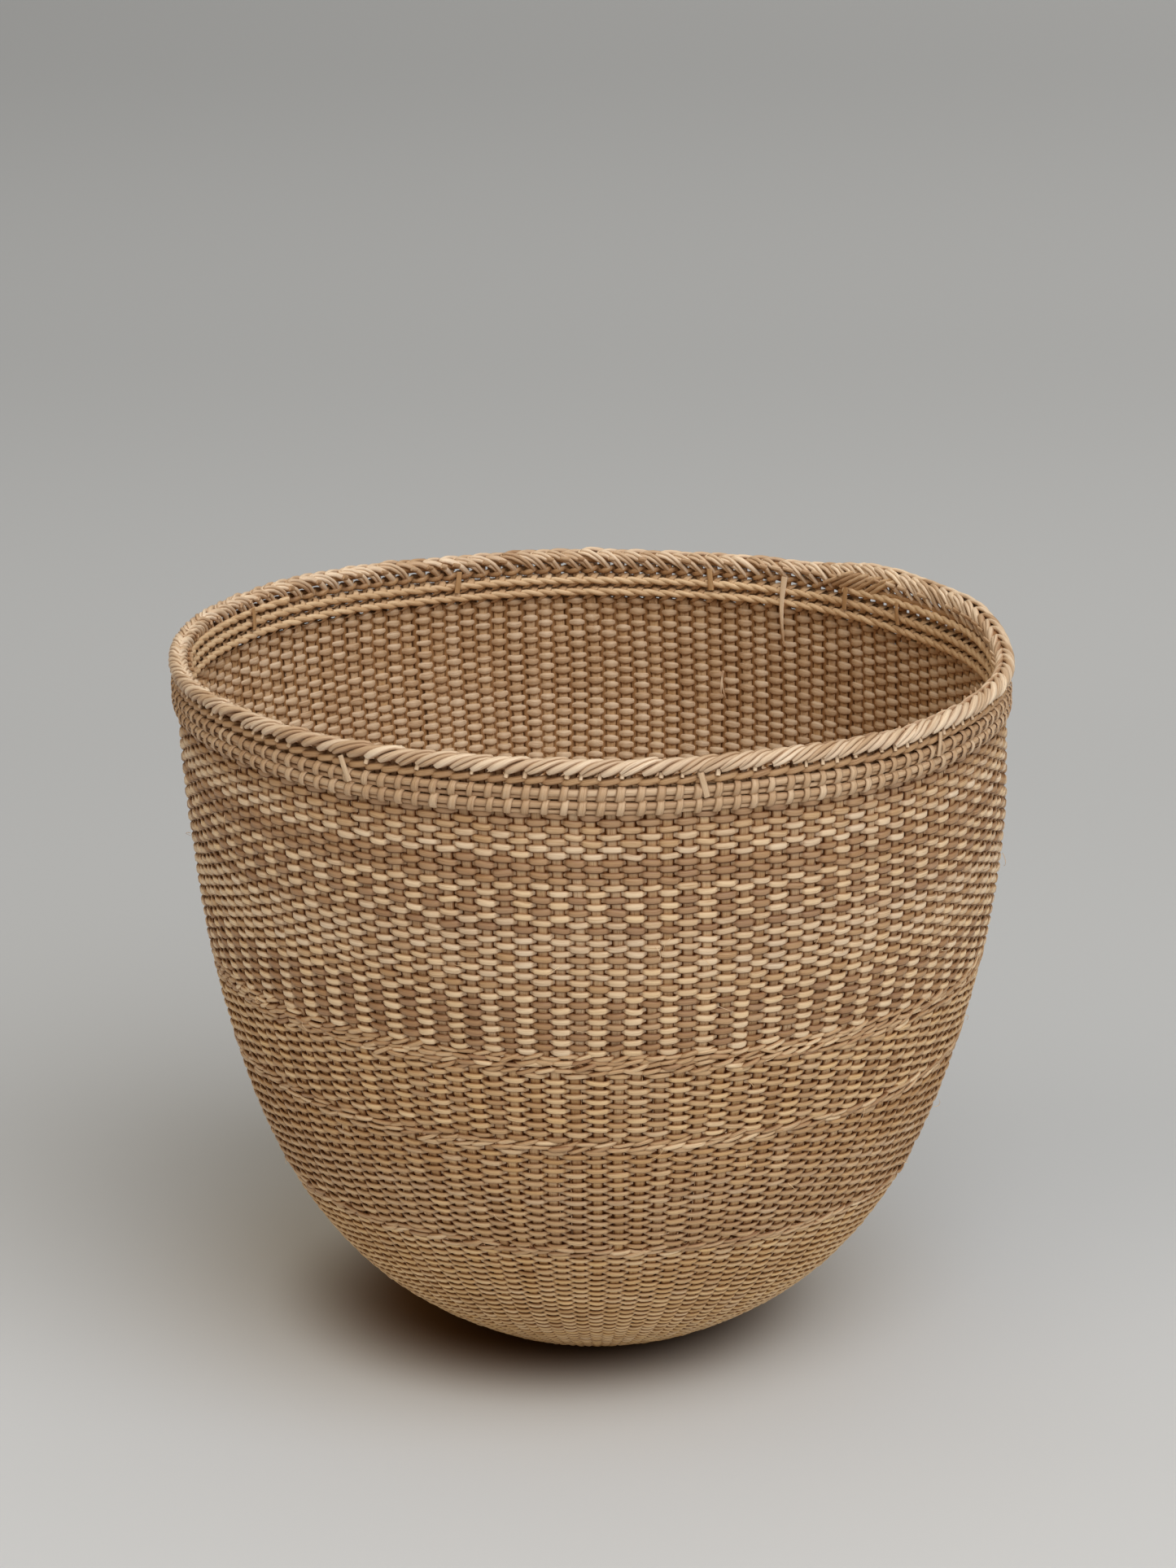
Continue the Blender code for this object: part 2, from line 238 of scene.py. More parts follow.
def buildSweepTree():
    tree = bpy.data.node_groups.new("splintSweep", "GeometryNodeTree")
    face = tree.interface
    face.new_socket("Geometry", in_out="INPUT", socket_type="NodeSocketGeometry")
    sockets = {}
    for label, (kind, value) in sweepInputs.items():
        socket = face.new_socket(label, in_out="INPUT", socket_type="NodeSocket" + kind)
        socket.default_value = value
        sockets[label] = socket.identifier
    sockets["Finish"] = face.new_socket("Finish", in_out="INPUT", socket_type="NodeSocketMaterial").identifier
    face.new_socket("Geometry", in_out="OUTPUT", socket_type="NodeSocketGeometry")
    source = addNode(tree, "NodeGroupInput").outputs

    def named(label, kind):
        node = addNode(tree, "GeometryNodeInputNamedAttribute", {"Name": label}, data_type=kind)
        return node.outputs["Attribute"]

    # The section: a circle pressed to the splint's width and thickness, with a groove down each broad side
    circle = addNode(tree, "GeometryNodeCurvePrimitiveCircle", {"Radius": 1.0, "Resolution": source["Sides"]})
    place = addNode(tree, "GeometryNodeInputPosition").outputs[0]
    x, y, _ = addNode(tree, "ShaderNodeSeparateXYZ", {0: place}).outputs
    across = {"Geometry": circle.outputs["Curve"], "Name": "across", "Value": x}
    across = addNode(tree, "GeometryNodeStoreNamedAttribute", across, data_type="FLOAT", domain="POINT")
    fromMiddle = addMath(tree, "DIVIDE", addMath(tree, "ABSOLUTE", x), grooveReach)
    nearMiddle = addMath(tree, "SUBTRACT", 1.0, fromMiddle)
    dip = addMath(tree, "MULTIPLY", source["Groove"], addMath(tree, "MAXIMUM", nearMiddle, 0.0))
    halfThickness = addMath(tree, "MULTIPLY", source["Thickness"], 0.5)
    depth = addMath(tree, "MULTIPLY", halfThickness, addMath(tree, "SUBTRACT", 1.0, dip))
    deep = addMath(tree, "MULTIPLY", y, depth)
    wide = addMath(tree, "MULTIPLY", x, addMath(tree, "MULTIPLY", source["Width"], 0.5))
    pressed = addNode(tree, "ShaderNodeCombineXYZ", {"X": deep, "Y": wide}).outputs[0]
    section = {"Geometry": across.outputs["Geometry"], "Position": pressed}
    section = addNode(tree, "GeometryNodeSetPosition", section)

    lines = addNode(tree, "GeometryNodeMeshToCurve", {"Mesh": source["Geometry"]})
    facing = {"Curve": lines.outputs["Curve"], "Normal": named("facing", "FLOAT_VECTOR")}
    turned = addNode(tree, "GeometryNodeSetCurveNormal", facing, mode="FREE")
    swept = addNode(tree, "GeometryNodeCurveToMesh", {
        "Curve": turned.outputs[0], "Profile Curve": section.outputs["Geometry"],
        "Scale": named("girth", "FLOAT"), "Fill Caps": source["Capped"],
    })
    smooth = addNode(tree, "GeometryNodeSetShadeSmooth", {"Geometry": swept.outputs["Mesh"]})
    real = addNode(tree, "GeometryNodeRealizeInstances", {"Geometry": smooth.outputs["Geometry"]})
    dressed = {"Geometry": real.outputs["Geometry"], "Material": source["Finish"]}
    dressed = addNode(tree, "GeometryNodeSetMaterial", dressed)
    addNode(tree, "NodeGroupOutput", {"Geometry": dressed.outputs["Geometry"]})
    return tree, sockets


sweepTree, sweepSockets = buildSweepTree()


# A guide line: its points, the way the splint's broad side faces, the length along it, and its numbers
def guideLine(points, outward, closed=False, along=0.0, **numbers):
    points = settle(points)
    if closed:
        tangent = np.roll(points, -1, axis=0) - np.roll(points, 1, axis=0)
        steps = np.linalg.norm(np.roll(points, -1, axis=0) - points, axis=1)[:-1]
    else:
        tangent = np.gradient(points, axis=0)
        steps = np.linalg.norm(np.diff(points, axis=0), axis=1)
    tangent /= np.linalg.norm(tangent, axis=1)[:, None]
    facing = outward - (outward * tangent).sum(axis=1)[:, None] * tangent
    facing /= np.linalg.norm(facing, axis=1)[:, None]
    whole = np.ones(len(points))
    guide = {label: value * whole for label, value in {**guideNumbers, **numbers}.items()}
    guide["along"] = along + np.concatenate([[0.0], np.cumsum(steps)])
    return {"points": points, "facing": facing, "closed": closed, **guide}


def sweepSplints(name, guides, finish, slot, nodes, **sizes):
    vertices = np.concatenate([guide["points"] for guide in guides])
    edges, start = [], 0
    for guide in guides:
        run = np.arange(start, start + len(guide["points"]))
        edges.append(np.stack([run[:-1], run[1:]], axis=1))
        if guide["closed"]:
            edges.append(np.array([[run[-1], run[0]]]))
        start += len(run)
    edges = np.concatenate(edges)
    lines = bpy.data.meshes.new(name + "Lines")
    lines.vertices.add(len(vertices))
    lines.vertices.foreach_set("co", vertices.astype(np.float32).ravel())
    lines.edges.add(len(edges))
    lines.edges.foreach_set("vertices", edges.astype(np.int32).ravel())
    for label in (*guideNumbers, "along"):
        values = np.concatenate([guide[label] for guide in guides]).astype(np.float32)
        lines.attributes.new(label, "FLOAT", "POINT").data.foreach_set("value", values)
    facing = np.concatenate([guide["facing"] for guide in guides]).astype(np.float32)
    lines.attributes.new("facing", "FLOAT_VECTOR", "POINT").data.foreach_set("vector", facing.ravel())
    item = bpy.data.objects.new(name, lines)
    bpy.context.scene.collection.objects.link(item)
    sweep = item.modifiers.new("sweep", "NODES")
    sweep.node_group = sweepTree
    for label, (_, value) in sweepInputs.items():
        sweep[sweepSockets[label]] = sizes.get(label, value)
    sweep[sweepSockets["Finish"]] = finishes[finish]
    graph = bpy.context.evaluated_depsgraph_get()
    mesh = bpy.data.meshes.new_from_object(
        item.evaluated_get(graph), preserve_all_data_layers=True, depsgraph=graph
    )
    item.modifiers.clear()
    for label in ("facing", "girth", "custom_normal"):
        if label in mesh.attributes:
            mesh.attributes.remove(mesh.attributes[label])
    mesh.name = name
    item.data = mesh
    bpy.data.meshes.remove(lines)
    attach(item, "root")
    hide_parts(*nodes)
    print(name, len(mesh.polygons), "faces")


# Cane colours, linear, from the dullest splints to the palest, then what they are multiplied by, painted
# shade among them
caneColours = {
    "taupe": (0.42, 0.26, 0.15, 1.0),
    "tan": (0.58, 0.40, 0.235, 1.0),
    "pale": (0.93, 0.77, 0.56, 1.0),
    "straw": (1.0, 0.83, 0.55, 1.0),
    "pink": (1.0, 0.985, 1.02, 1.0),
    "paintedShade": (0.36, 0.20, 0.085, 1.0),
    "crack": (0.62, 0.46, 0.32, 1.0),
}
# The pattern: how often it changes along a splint and across it, and how strongly it shows
canePattern = {
    "across": 3.2,
    "fibres": (130.0, 1.0, 23.0),
    "fibreRange": (0.25, 0.75),
    "fibreShade": 0.13,
    "cracks": (70.0, 1.4, 31.0),
    "crackFrom": (0.60, 0.68),
    "crackDepth": 0.8,
    "blotches": 26.0,
    "blotchRange": (0.3, 0.7),
    "blotchShade": 0.07,
    "grain": 900.0,
    "grainHeight": 0.2,
    "roughRange": (0.3, 0.7),
    "edgeFrom": 0.5,
    "innerFacing": (-0.3, 0.1),
    "roughness": (0.42, 0.60),
    "bump": (0.5, 0.0002),
    "gloss": 0.5,
}
caneInputs = {"Brightness": 1.0, "Streaks": 0.5, "Painted Shade": 0.6, "Dark Edges": 0.0, "Fibre Scale": 1.0,
              "Inner Painted Shade": 0.35}


def buildCaneGroup(colours, pattern):
    tree = bpy.data.node_groups.new("splitCane", "ShaderNodeTree")
    for label, value in caneInputs.items():
        tree.interface.new_socket(label, in_out="INPUT", socket_type="NodeSocketFloat").default_value = value
    for label, kind in (("Colour", "Color"), ("Roughness", "Float"), ("Height", "Float")):
        tree.interface.new_socket(label, in_out="OUTPUT", socket_type="NodeSocket" + kind)
    source = addNode(tree, "NodeGroupInput").outputs

    def times(first, second, **options):
        return addMath(tree, "MULTIPLY", first, second, **options)

    def attribute(label):
        return addNode(tree, "ShaderNodeAttribute", attribute_name=label).outputs["Fac"]

    def blend(kind, factor, first, second):
        colours = {0: factor, 6: first, 7: second}
        return addNode(tree, "ShaderNodeMix", colours, data_type="RGBA", blend_type=kind).outputs[2]

    def remap(*values):
        return addNode(tree, "ShaderNodeMapRange", enumerate(values)).outputs[0]

    def noise(vector, scale, detail):
        inputs = {"Vector": vector, "Scale": scale, "Detail": detail}
        return addNode(tree, "ShaderNodeTexNoise", inputs).outputs["Fac"]

    def splintNoise(frequencies, seed, detail):
        run, fine, apart = frequencies
        place = {"X": times(along, run), "Y": times(scaled, fine), "Z": times(seed, apart)}
        return noise(addNode(tree, "ShaderNodeCombineXYZ", place).outputs[0], 1.0, detail)

    def vector(operation, *values):
        return addNode(tree, "ShaderNodeVectorMath", enumerate(values), operation=operation).outputs

    along, across, tone, hue, crest, edges = (
        attribute(label) for label in ("along", "across", "tone", "hue", "crest", "edges")
    )
    # Fibres run along the splint, so the pattern is long that way and fine across
    scaled = times(times(across, pattern["across"]), source["Fibre Scale"])
    fibres = splintNoise(pattern["fibres"], tone, 3.0)
    cracks = splintNoise(pattern["cracks"], hue, 2.0)
    cracks = times(remap(cracks, *pattern["crackFrom"], 0.0, 1.0), source["Streaks"])
    place = addNode(tree, "ShaderNodeTexCoord").outputs["Object"]
    blotches = noise(place, pattern["blotches"], 3.0)
    grain = noise(place, pattern["grain"], 2.0)

    shade = tone
    for kind, values in (("fibre", fibres), ("blotch", blotches)):
        most = pattern[kind + "Shade"]
        shade = addMath(tree, "ADD", shade, remap(values, *pattern[kind + "Range"], -most, most))
    lowHalf = times(shade, 2.0, use_clamp=True)
    highHalf = addMath(tree, "SUBTRACT", times(shade, 2.0), 1.0, use_clamp=True)
    colour = blend("MIX", lowHalf, colours["taupe"], colours["tan"])
    colour = blend("MIX", highHalf, colour, colours["pale"])
    colour = blend("MULTIPLY", 1.0, colour, blend("MIX", hue, colours["pink"], colours["straw"]))
    colour = blend("MULTIPLY", cracks, colour, colours["crack"])
    # Painted shade: darker where a splint dives between the stakes (low crest) and along its edges, where
    # rows meet
    shadeMask = times(addMath(tree, "SUBTRACT", 1.0, crest), source["Painted Shade"])
    edge = times(remap(addMath(tree, "ABSOLUTE", across), pattern["edgeFrom"], 1.0, 0.0, 1.0), edges)
    shadeMask = addMath(tree, "MULTIPLY_ADD", edge, source["Dark Edges"], shadeMask, use_clamp=True)
    # The painted shade is weaker on faces turned in towards the axis
    outward = vector("NORMALIZE", vector("MULTIPLY", place, (1.0, 1.0, 0.0))["Vector"])["Vector"]
    normal = addNode(tree, "ShaderNodeNewGeometry").outputs["Normal"]
    facing = vector("DOT_PRODUCT", outward, normal)["Value"]
    shadeMask = times(shadeMask, remap(facing, *pattern["innerFacing"], source["Inner Painted Shade"], 1.0))
    colour = blend("MULTIPLY", shadeMask, colour, colours["paintedShade"])
    level = addNode(tree, "ShaderNodeHueSaturation", {"Value": source["Brightness"], "Color": colour})
    height = addMath(tree, "ADD", fibres, times(grain, pattern["grainHeight"]))
    height = addMath(tree, "SUBTRACT", height, times(cracks, pattern["crackDepth"]))
    roughness = remap(fibres, *pattern["roughRange"], *pattern["roughness"])
    addNode(tree, "NodeGroupOutput", {"Colour": level.outputs[0], "Roughness": roughness, "Height": height})
    return tree


caneGroup = buildCaneGroup(caneColours, canePattern)

caneFinishes = {
    "weft": {"Brightness": 0.94, "Streaks": 0.55, "Painted Shade": 1.0, "Dark Edges": 0.9, "Fibre Scale": 1.0},
    "stake": {"Brightness": 0.97, "Streaks": 0.7, "Painted Shade": 0.6, "Dark Edges": 1.0, "Fibre Scale": 2.2},
    "band": {"Brightness": 1.0, "Streaks": 0.7, "Painted Shade": 1.0, "Dark Edges": 1.0, "Fibre Scale": 1.2},
    "hoop": {"Brightness": 1.0, "Streaks": 0.7, "Painted Shade": 0.4, "Dark Edges": 0.4, "Fibre Scale": 1.6},
    "lashing": {"Brightness": 1.0, "Streaks": 0.4, "Painted Shade": 0.5, "Dark Edges": 0.2, "Fibre Scale": 1.2},
    "twining": {"Brightness": 1.0, "Streaks": 0.7, "Painted Shade": 0.8, "Dark Edges": 0.4, "Fibre Scale": 1.2},
    "border": {"Brightness": 1.0, "Streaks": 0.5, "Painted Shade": 0.6, "Dark Edges": 0.7, "Fibre Scale": 1.2},
    "tie": {"Brightness": 1.1, "Streaks": 0.3, "Painted Shade": 0.2, "Dark Edges": 0.0, "Fibre Scale": 1.5},
}


def newMaterial(name):
    material = bpy.data.materials.new(name)
    material.use_nodes = True
    return material, material.node_tree, material.node_tree.nodes["Principled BSDF"]


def caneFinish(kind, settings):
    material, tree, shader = newMaterial(kind + "Cane")
    cane = addNode(tree, "ShaderNodeGroup", node_tree=caneGroup)
    feed(tree, cane, settings)
    strength, distance = canePattern["bump"]
    bump = {"Strength": strength, "Distance": distance, "Height": cane.outputs["Height"]}
    bump = addNode(tree, "ShaderNodeBump", bump)
    feed(tree, shader, {"Base Color": cane.outputs["Colour"], "Roughness": cane.outputs["Roughness"],
                        "Normal": bump.outputs["Normal"], "Specular IOR Level": canePattern["gloss"]})
    return material


finishes = {kind: caneFinish(kind, settings) for kind, settings in caneFinishes.items()}
print("cane finishes made")

# Twined bands: their middles up the wall, their widths, and how they climb round the basket
twinedBands = {
    "base": {"level": 0.0934, "width": 0.005, "rows": 2, "stakes": 108, "climb": 0.001, "seed": 11},
    "lower": {"level": 0.1539, "width": 0.005, "rows": 2, "stakes": 120, "climb": 0.006, "seed": 12},
    "upper": {"level": 0.1964, "width": 0.010, "rows": 4, "stakes": 144, "climb": 0.0012, "seed": 13},
}
bandClimb = {"up": (40.0, 95.0), "down": (125.0, 230.0), "wave": 0.12, "turns": 3.0}


def bandShift(band, angle):
    degrees = np.degrees(np.mod(angle, math.tau))
    climb = smoothStep(*bandClimb["up"], degrees) * (1.0 - smoothStep(*bandClimb["down"], degrees))
    return band["climb"] * (climb + bandClimb["wave"] * np.sin(bandClimb["turns"] * angle + band["seed"]))


def bandEdge(name, side):
    band = twinedBands[name]
    middle = lengthAt(band["level"])
    return lambda angle: middle + side * band["width"] / 2.0 + bandShift(band, angle)


def levelEdge(length):
    return lambda angle: length + np.zeros_like(angle)


# Woven zones from the base's middle to the weave's top. Cover is a splint's width in row pitches, the rows
# are spread apart towards the top, and tones and mix are those of the dull, tan and pale splints
zoneDefaults = {"spread": 0.0, "parts": 1, "shadeUnderHoop": 0.0, "planned": ((), ())}
wovenZones = (
    {"name": "baseStart", "node": "base_start", "stakes": 28, "low": levelEdge(-0.0235),
     "high": levelEdge(0.0), "pitch": 0.0024, "cover": 1.2, "reach": 0.0009, "tones": (0.78, 0.84, 0.90),
     "mix": (0.3, 0.5, 0.2), "straw": 0.95, "seed": 21},
    {"name": "baseInner", "node": "base_weave", "stakes": 54, "low": levelEdge(0.0), "high": levelEdge(0.036),
     "pitch": 0.0023, "cover": 1.22, "reach": 0.0010, "tones": (0.78, 0.84, 0.90), "mix": (0.3, 0.5, 0.2),
     "straw": 1.0, "seed": 22},
    {"name": "baseOuter", "node": "base_weave", "stakes": 108, "low": levelEdge(0.036),
     "high": bandEdge("base", -1), "pitch": 0.0024, "cover": 1.25, "reach": 0.0012, "parts": 3,
     "tones": (0.76, 0.83, 0.90), "mix": (0.25, 0.5, 0.25), "straw": 1.0, "seed": 23},
    {"name": "lowerWall", "node": "lower_wall_weave", "stakes": 108, "low": bandEdge("base", 1),
     "high": bandEdge("lower", -1), "pitch": 0.0026, "cover": 1.2, "reach": 0.0015,
     "tones": (0.57, 0.64, 0.72), "mix": (0.3, 0.5, 0.2), "straw": 0.74, "seed": 24},
    {"name": "middleWall", "node": "middle_wall_weave", "stakes": 120, "low": bandEdge("lower", 1),
     "high": bandEdge("upper", -1), "pitch": 0.0026, "cover": 1.2, "reach": 0.0016,
     "tones": (0.45, 0.55, 0.69), "mix": (0.3, 0.45, 0.25), "straw": 0.72, "seed": 25},
    {"name": "upperWall", "node": "upper_wall_weave", "stakes": 144, "low": bandEdge("upper", 1),
     "high": levelEdge(wallTop), "pitch": 0.0028, "spread": 0.07, "cover": 1.28, "reach": 0.0017, "parts": 3,
     "tones": (0.15, 0.43, 0.85), "mix": (0.30, 0.16, 0.54), "straw": 0.52, "shadeUnderHoop": 0.72, "seed": 26,
     # The kinds of splint that the two wefts run in, and for how many turns, from the band up
     "planned": (((2, 5.8), (1, 1.0), (2, 4.6), (0, 1.0), (2, 3.6), (0, 1.3), (2, 1.6), (1, 2.0)),
                 ((0, 2.4), (1, 0.7), (0, 2.0), (2, 3.7), (1, 0.8), (2, 2.4), (0, 2.5), (2, 0.8), (0, 2.0)))},
)

weftShape = {
    "thickness": 0.0015,
    "places": (0.0, 0.20, 0.38, 0.50, 0.62, 0.80),  # where it is drawn between two stakes
    "turn": 0.59,  # how far from its stake it turns in, in stake spacings
    "softness": 0.22,
    "doming": 0.12,
    "diveGirth": 0.78,  # its size where it dives between the stakes
    "diveDark": 0.6,  # how far out the painted shade between the stakes reaches
    "swells": ((0.22, 2.0, 6.0), (0.12, 5.0, 4.0)),  # size in rows, turns, and rows to a radian of drift
    "ripple": (0.06, 7.0),
    "otherStart": 7.0,  # how far along its pattern the second weft starts
    "unevenRows": 0.00022,
    "unevenTilt": 0.0005,
    "unevenReach": 0.07,
    "unevenSize": 0.07,
    "sizeLimits": (0.82, 1.15),
    "unevenTone": 0.05,
    "unevenHue": 0.08,
    "palest": 1.3,
    "shadeUnderHoopFrom": (0.87, 0.93),
    # The inner face's tones are drawn towards one middling tone: evener, and the dark splints lifted as
    # painted light for the dim inside
    "innerTone": 0.65,
    "innerHue": 0.06,
    "innerEven": 0.75,  # how far the colours inside draw together
    "innerGirth": 0.16,
    "innerFull": 0.7,
    # On the inner face the weft gets no painted shade and little edge shade
    "innerCrest": 1.0,
    "innerEdges": 0.05,
}
stakeSizes = {"width": 0.0050, "thickness": 0.0015, "sway": 0.0003, "groove": 0.35, "sides": 8, "fill": 0.6,
              "ends": 0.9, "tone": (0.6, 0.1), "toneLimits": (0.05, 0.95), "hueSpread": 0.15, "crest": 0.8}
# Dark strips in the wall's middle between the stakes close the weave; their near-black tone and low crest are
# painted shade
shadeStripSizes = {"width": 0.0034, "thickness": 0.0003, "points": 16, "fill": 0.54, "widest": 1.4, "tone": 0.12,
             "hue": 0.9, "crest": 0.2}
# Splints of one kind last some turns round the basket, then another kind takes over
splintRun = {"turns": (1.0, 2.0, 4.0), "shares": (0.32, 0.38, 0.3), "vary": (0.85, 1.15), "toneSpread": 0.06,
             "hueSpread": 0.08, "kindRuns": (1.0, 0.6, 1.5), "kindHues": (-0.1, -0.04, -0.15)}


def splintRuns(rng, rounds, zone, planned):
    breaks, tones, hues = [0.0], [], []
    kind = rng.choice(3, p=zone["mix"])
    while breaks[-1] < rounds + 1.0:
        others = np.array(zone["mix"]) * (np.arange(3) != kind)
        kind = rng.choice(3, p=others / others.sum())
        turns = rng.choice(splintRun["turns"], p=splintRun["shares"]) * splintRun["kindRuns"][kind]
        if len(tones) < len(planned):
            kind, turns = planned[len(tones)]
        tones.append(zone["tones"][kind] + rng.normal(0.0, splintRun["toneSpread"]))
        hues.append(zone["straw"] + splintRun["kindHues"][kind] + rng.normal(0.0, splintRun["hueSpread"]))
        breaks.append(breaks[-1] + turns * rng.uniform(*splintRun["vary"]))
    return np.array(breaks), np.array(tones), np.array(hues)


# How far out a splint runs at each place, from 1 over its own stakes to -1 behind the others
def plainDepth(away, shape):
    share = np.where(away < shape["turn"], away / shape["turn"], (1.0 - away) / (1.0 - shape["turn"]))
    return np.tanh((shape["turn"] - away) / shape["softness"]) * (1.0 - shape["doming"] * share**2)


def spreadRows(zone, share):
    return share + zone["spread"] * share * (share - 1.0)


def stakeSpacing(length, count):
    return math.tau * np.interp(length, wallLengths, wallRadii) / count


def weaveWefts(zone, shape, ring, rng, low0, high0, rows):
    count = zone["stakes"]
    place = (np.arange(count)[:, None] + np.array(shape["places"])).ravel()
    crossing = np.floor(place + 0.5).astype(int) % count
    runs = [splintRuns(rng, rows / 2.0, zone, planned) for planned in zone["planned"]]
    radius = float(np.interp((low0 + high0) / 2.0, wallLengths, wallRadii))
    phases = rng.uniform(0.0, math.tau, 3)

    def stray():
        return rng.normal(0.0, 1.0, count)[crossing]

    wefts = []
    for row in range(rows):
        angle = ring.angle(place, low0 + (row + 0.5) / rows * (high0 - low0))
        swell = ripple(angle, [(size, turns, phase + row / drift)
                               for (size, turns, drift), phase in zip(shape["swells"], phases)])
        size, turns = shape["ripple"]
        swell = swell * math.sin(math.pi * (row + 0.5) / rows)
        swell = swell + size * np.sin(turns * angle + rng.uniform(0.0, math.tau))
        share = spreadRows(zone, (row + 0.5 + swell) / rows)
        low, high = zone["low"](angle), zone["high"](angle)
        depth = plainDepth(np.abs(np.mod(place + row + 1.0, 2.0) - 1.0), shape)
        jump = shape["unevenRows"] * stray()
        tilt = shape["unevenTilt"] * stray() * (place - np.floor(place + 0.5))
        length = low + share * (high - low) + (jump + tilt) * np.abs(depth)
        reach = zone["reach"] * (1.0 + shape["unevenReach"] * stray())
        points, outward = onWall(angle, length, reach * depth)
        size = np.clip(1.0 + shape["unevenSize"] * stray(), *shape["sizeLimits"])
        girth = size * (shape["diveGirth"] + (1.0 - shape["diveGirth"]) * np.abs(depth))
        girth = girth * (1.0 + shape["innerGirth"] * smoothStep(0.0, shape["innerFull"], -depth))
        breaks, tones, hues = runs[row % 2]
        run = np.searchsorted(breaks, row // 2 + place / count, side="right") - 1
        tone = tones[run] + shape["unevenTone"] * stray()
        hue = hues[run] + shape["unevenHue"] * stray()
        # Painted shade under the lower hoop: the top rows lose their palest tones
        tone = np.minimum(tone, shape["palest"] - zone["shadeUnderHoop"] * smoothStep(*shape["shadeUnderHoopFrom"], share))
        # Inner face: evener tones, the dark ones lifted as painted light for the dim inside
        even = shape["innerEven"] * (depth < 0.0)
        tone, hue = tone + even * (shape["innerTone"] - tone), hue + even * (shape["innerHue"] - hue)
        # Painted shade: darker where the weft dives between the stakes and along its edges, hardly any on the
        # inner face
        least = np.where(depth < 0.0, shape["innerCrest"], 0.0)
        crest = np.clip(np.abs(depth) / shape["diveDark"], least, 1.0)
        edges = np.where(depth < 0.0, shape["innerEdges"], 1.0)
        along = row // 2 * math.tau * radius + shape["otherStart"] * (row % 2)
        wefts.append(guideLine(points, outward, closed=True, along=along, girth=girth, tone=tone,
                               hue=np.clip(hue, 0.0, 1.0), crest=crest, edges=edges))
    perPart = math.ceil(rows / zone["parts"])
    for part in range(zone["parts"]):
        name = zone["name"] + "Wefts" + ("" if zone["parts"] == 1 else str(part + 1))
        sweepSplints(name, wefts[part * perPart : (part + 1) * perPart], "weft", "weave_cane", [zone["node"]],
                     Width=zone["cover"] * zone["pitch"], Thickness=shape["thickness"])


def standStakes(zone, sizes, ring, rng, low0, high0, rows):
    stakes = []
    ends = sizes["ends"]
    levels = spreadRows(zone, np.concatenate([[-ends], np.arange(rows) + 0.5, [rows + ends]]) / rows)
    rowNumber = np.arange(-1, rows + 1)
    for stake in range(zone["stakes"]):
        angle = ring.angle(np.full(len(levels), float(stake)), low0 + levels * (high0 - low0))
        low, high = zone["low"](angle), zone["high"](angle)
        length = np.minimum(low + levels * (high - low), wallTop)
        points, outward = onWall(angle, length, -sizes["sway"] * np.cos(math.pi * (stake + rowNumber)))
        girth = np.minimum(1.0, sizes["fill"] * stakeSpacing(length, zone["stakes"]) / sizes["width"])
        tone = np.clip(rng.normal(*sizes["tone"]), *sizes["toneLimits"])
        hue = np.clip(zone["straw"] + rng.uniform(-sizes["hueSpread"], sizes["hueSpread"]), 0.0, 1.0)
        stakes.append(guideLine(points, outward, along=rng.uniform(*startLengths), girth=girth, tone=tone,
                                hue=hue, crest=sizes["crest"]))
    sweepSplints(zone["name"] + "Stakes", stakes, "stake", "weave_cane", [zone["node"]], Width=sizes["width"],
                 Thickness=sizes["thickness"], Sides=sizes["sides"], Groove=sizes["groove"])


def layShadeStrips(zone, sizes, ring, low0, high0):
    strips = []
    levels = np.linspace(0.0, 1.0, sizes["points"])
    for stake in range(zone["stakes"]):
        angle = ring.angle(np.full(len(levels), stake + 0.5), low0 + levels * (high0 - low0))
        low, high = zone["low"](angle), zone["high"](angle)
        length = low + levels * (high - low)
        points, outward = onWall(angle, length, np.zeros_like(length))
        share = sizes["fill"] * stakeSpacing(length, zone["stakes"]) / sizes["width"]
        strips.append(guideLine(points, outward, girth=np.minimum(sizes["widest"], share), tone=sizes["tone"],
                               hue=sizes["hue"], crest=sizes["crest"]))
    sweepSplints(zone["name"] + "ShadeStrips", strips, "weft", "weave_cane", [zone["node"]], Width=sizes["width"],
                 Thickness=sizes["thickness"], Sides=4)


for zone in wovenZones:
    zone = {**zoneDefaults, **zone}
    rng = np.random.default_rng(zone["seed"])
    ring = StakeRing(zone["stakes"], zone["seed"] + 100)
    low0, high0 = (float(zone[side](np.array([0.0]))[0]) for side in ("low", "high"))
    rows = int(round((high0 - low0) / zone["pitch"]))
    weaveWefts(zone, weftShape, ring, rng, low0, high0, rows)
    standStakes(zone, stakeSizes, ring, rng, low0, high0, rows)
    layShadeStrips(zone, shadeStripSizes, ring, low0, high0)
print("wall woven")

# The start of the base: flat splints crossed over and under each other
baseStart = {"splints": 6, "spacing": 0.0042, "radius": 0.0115, "shortest": 0.003, "tuck": 0.002,
             "width": 0.0036, "thickness": 0.0011, "reach": 0.0007, "points": 25, "tones": (0.3, 0.8),
             "hue": 0.6, "crest": 0.8}


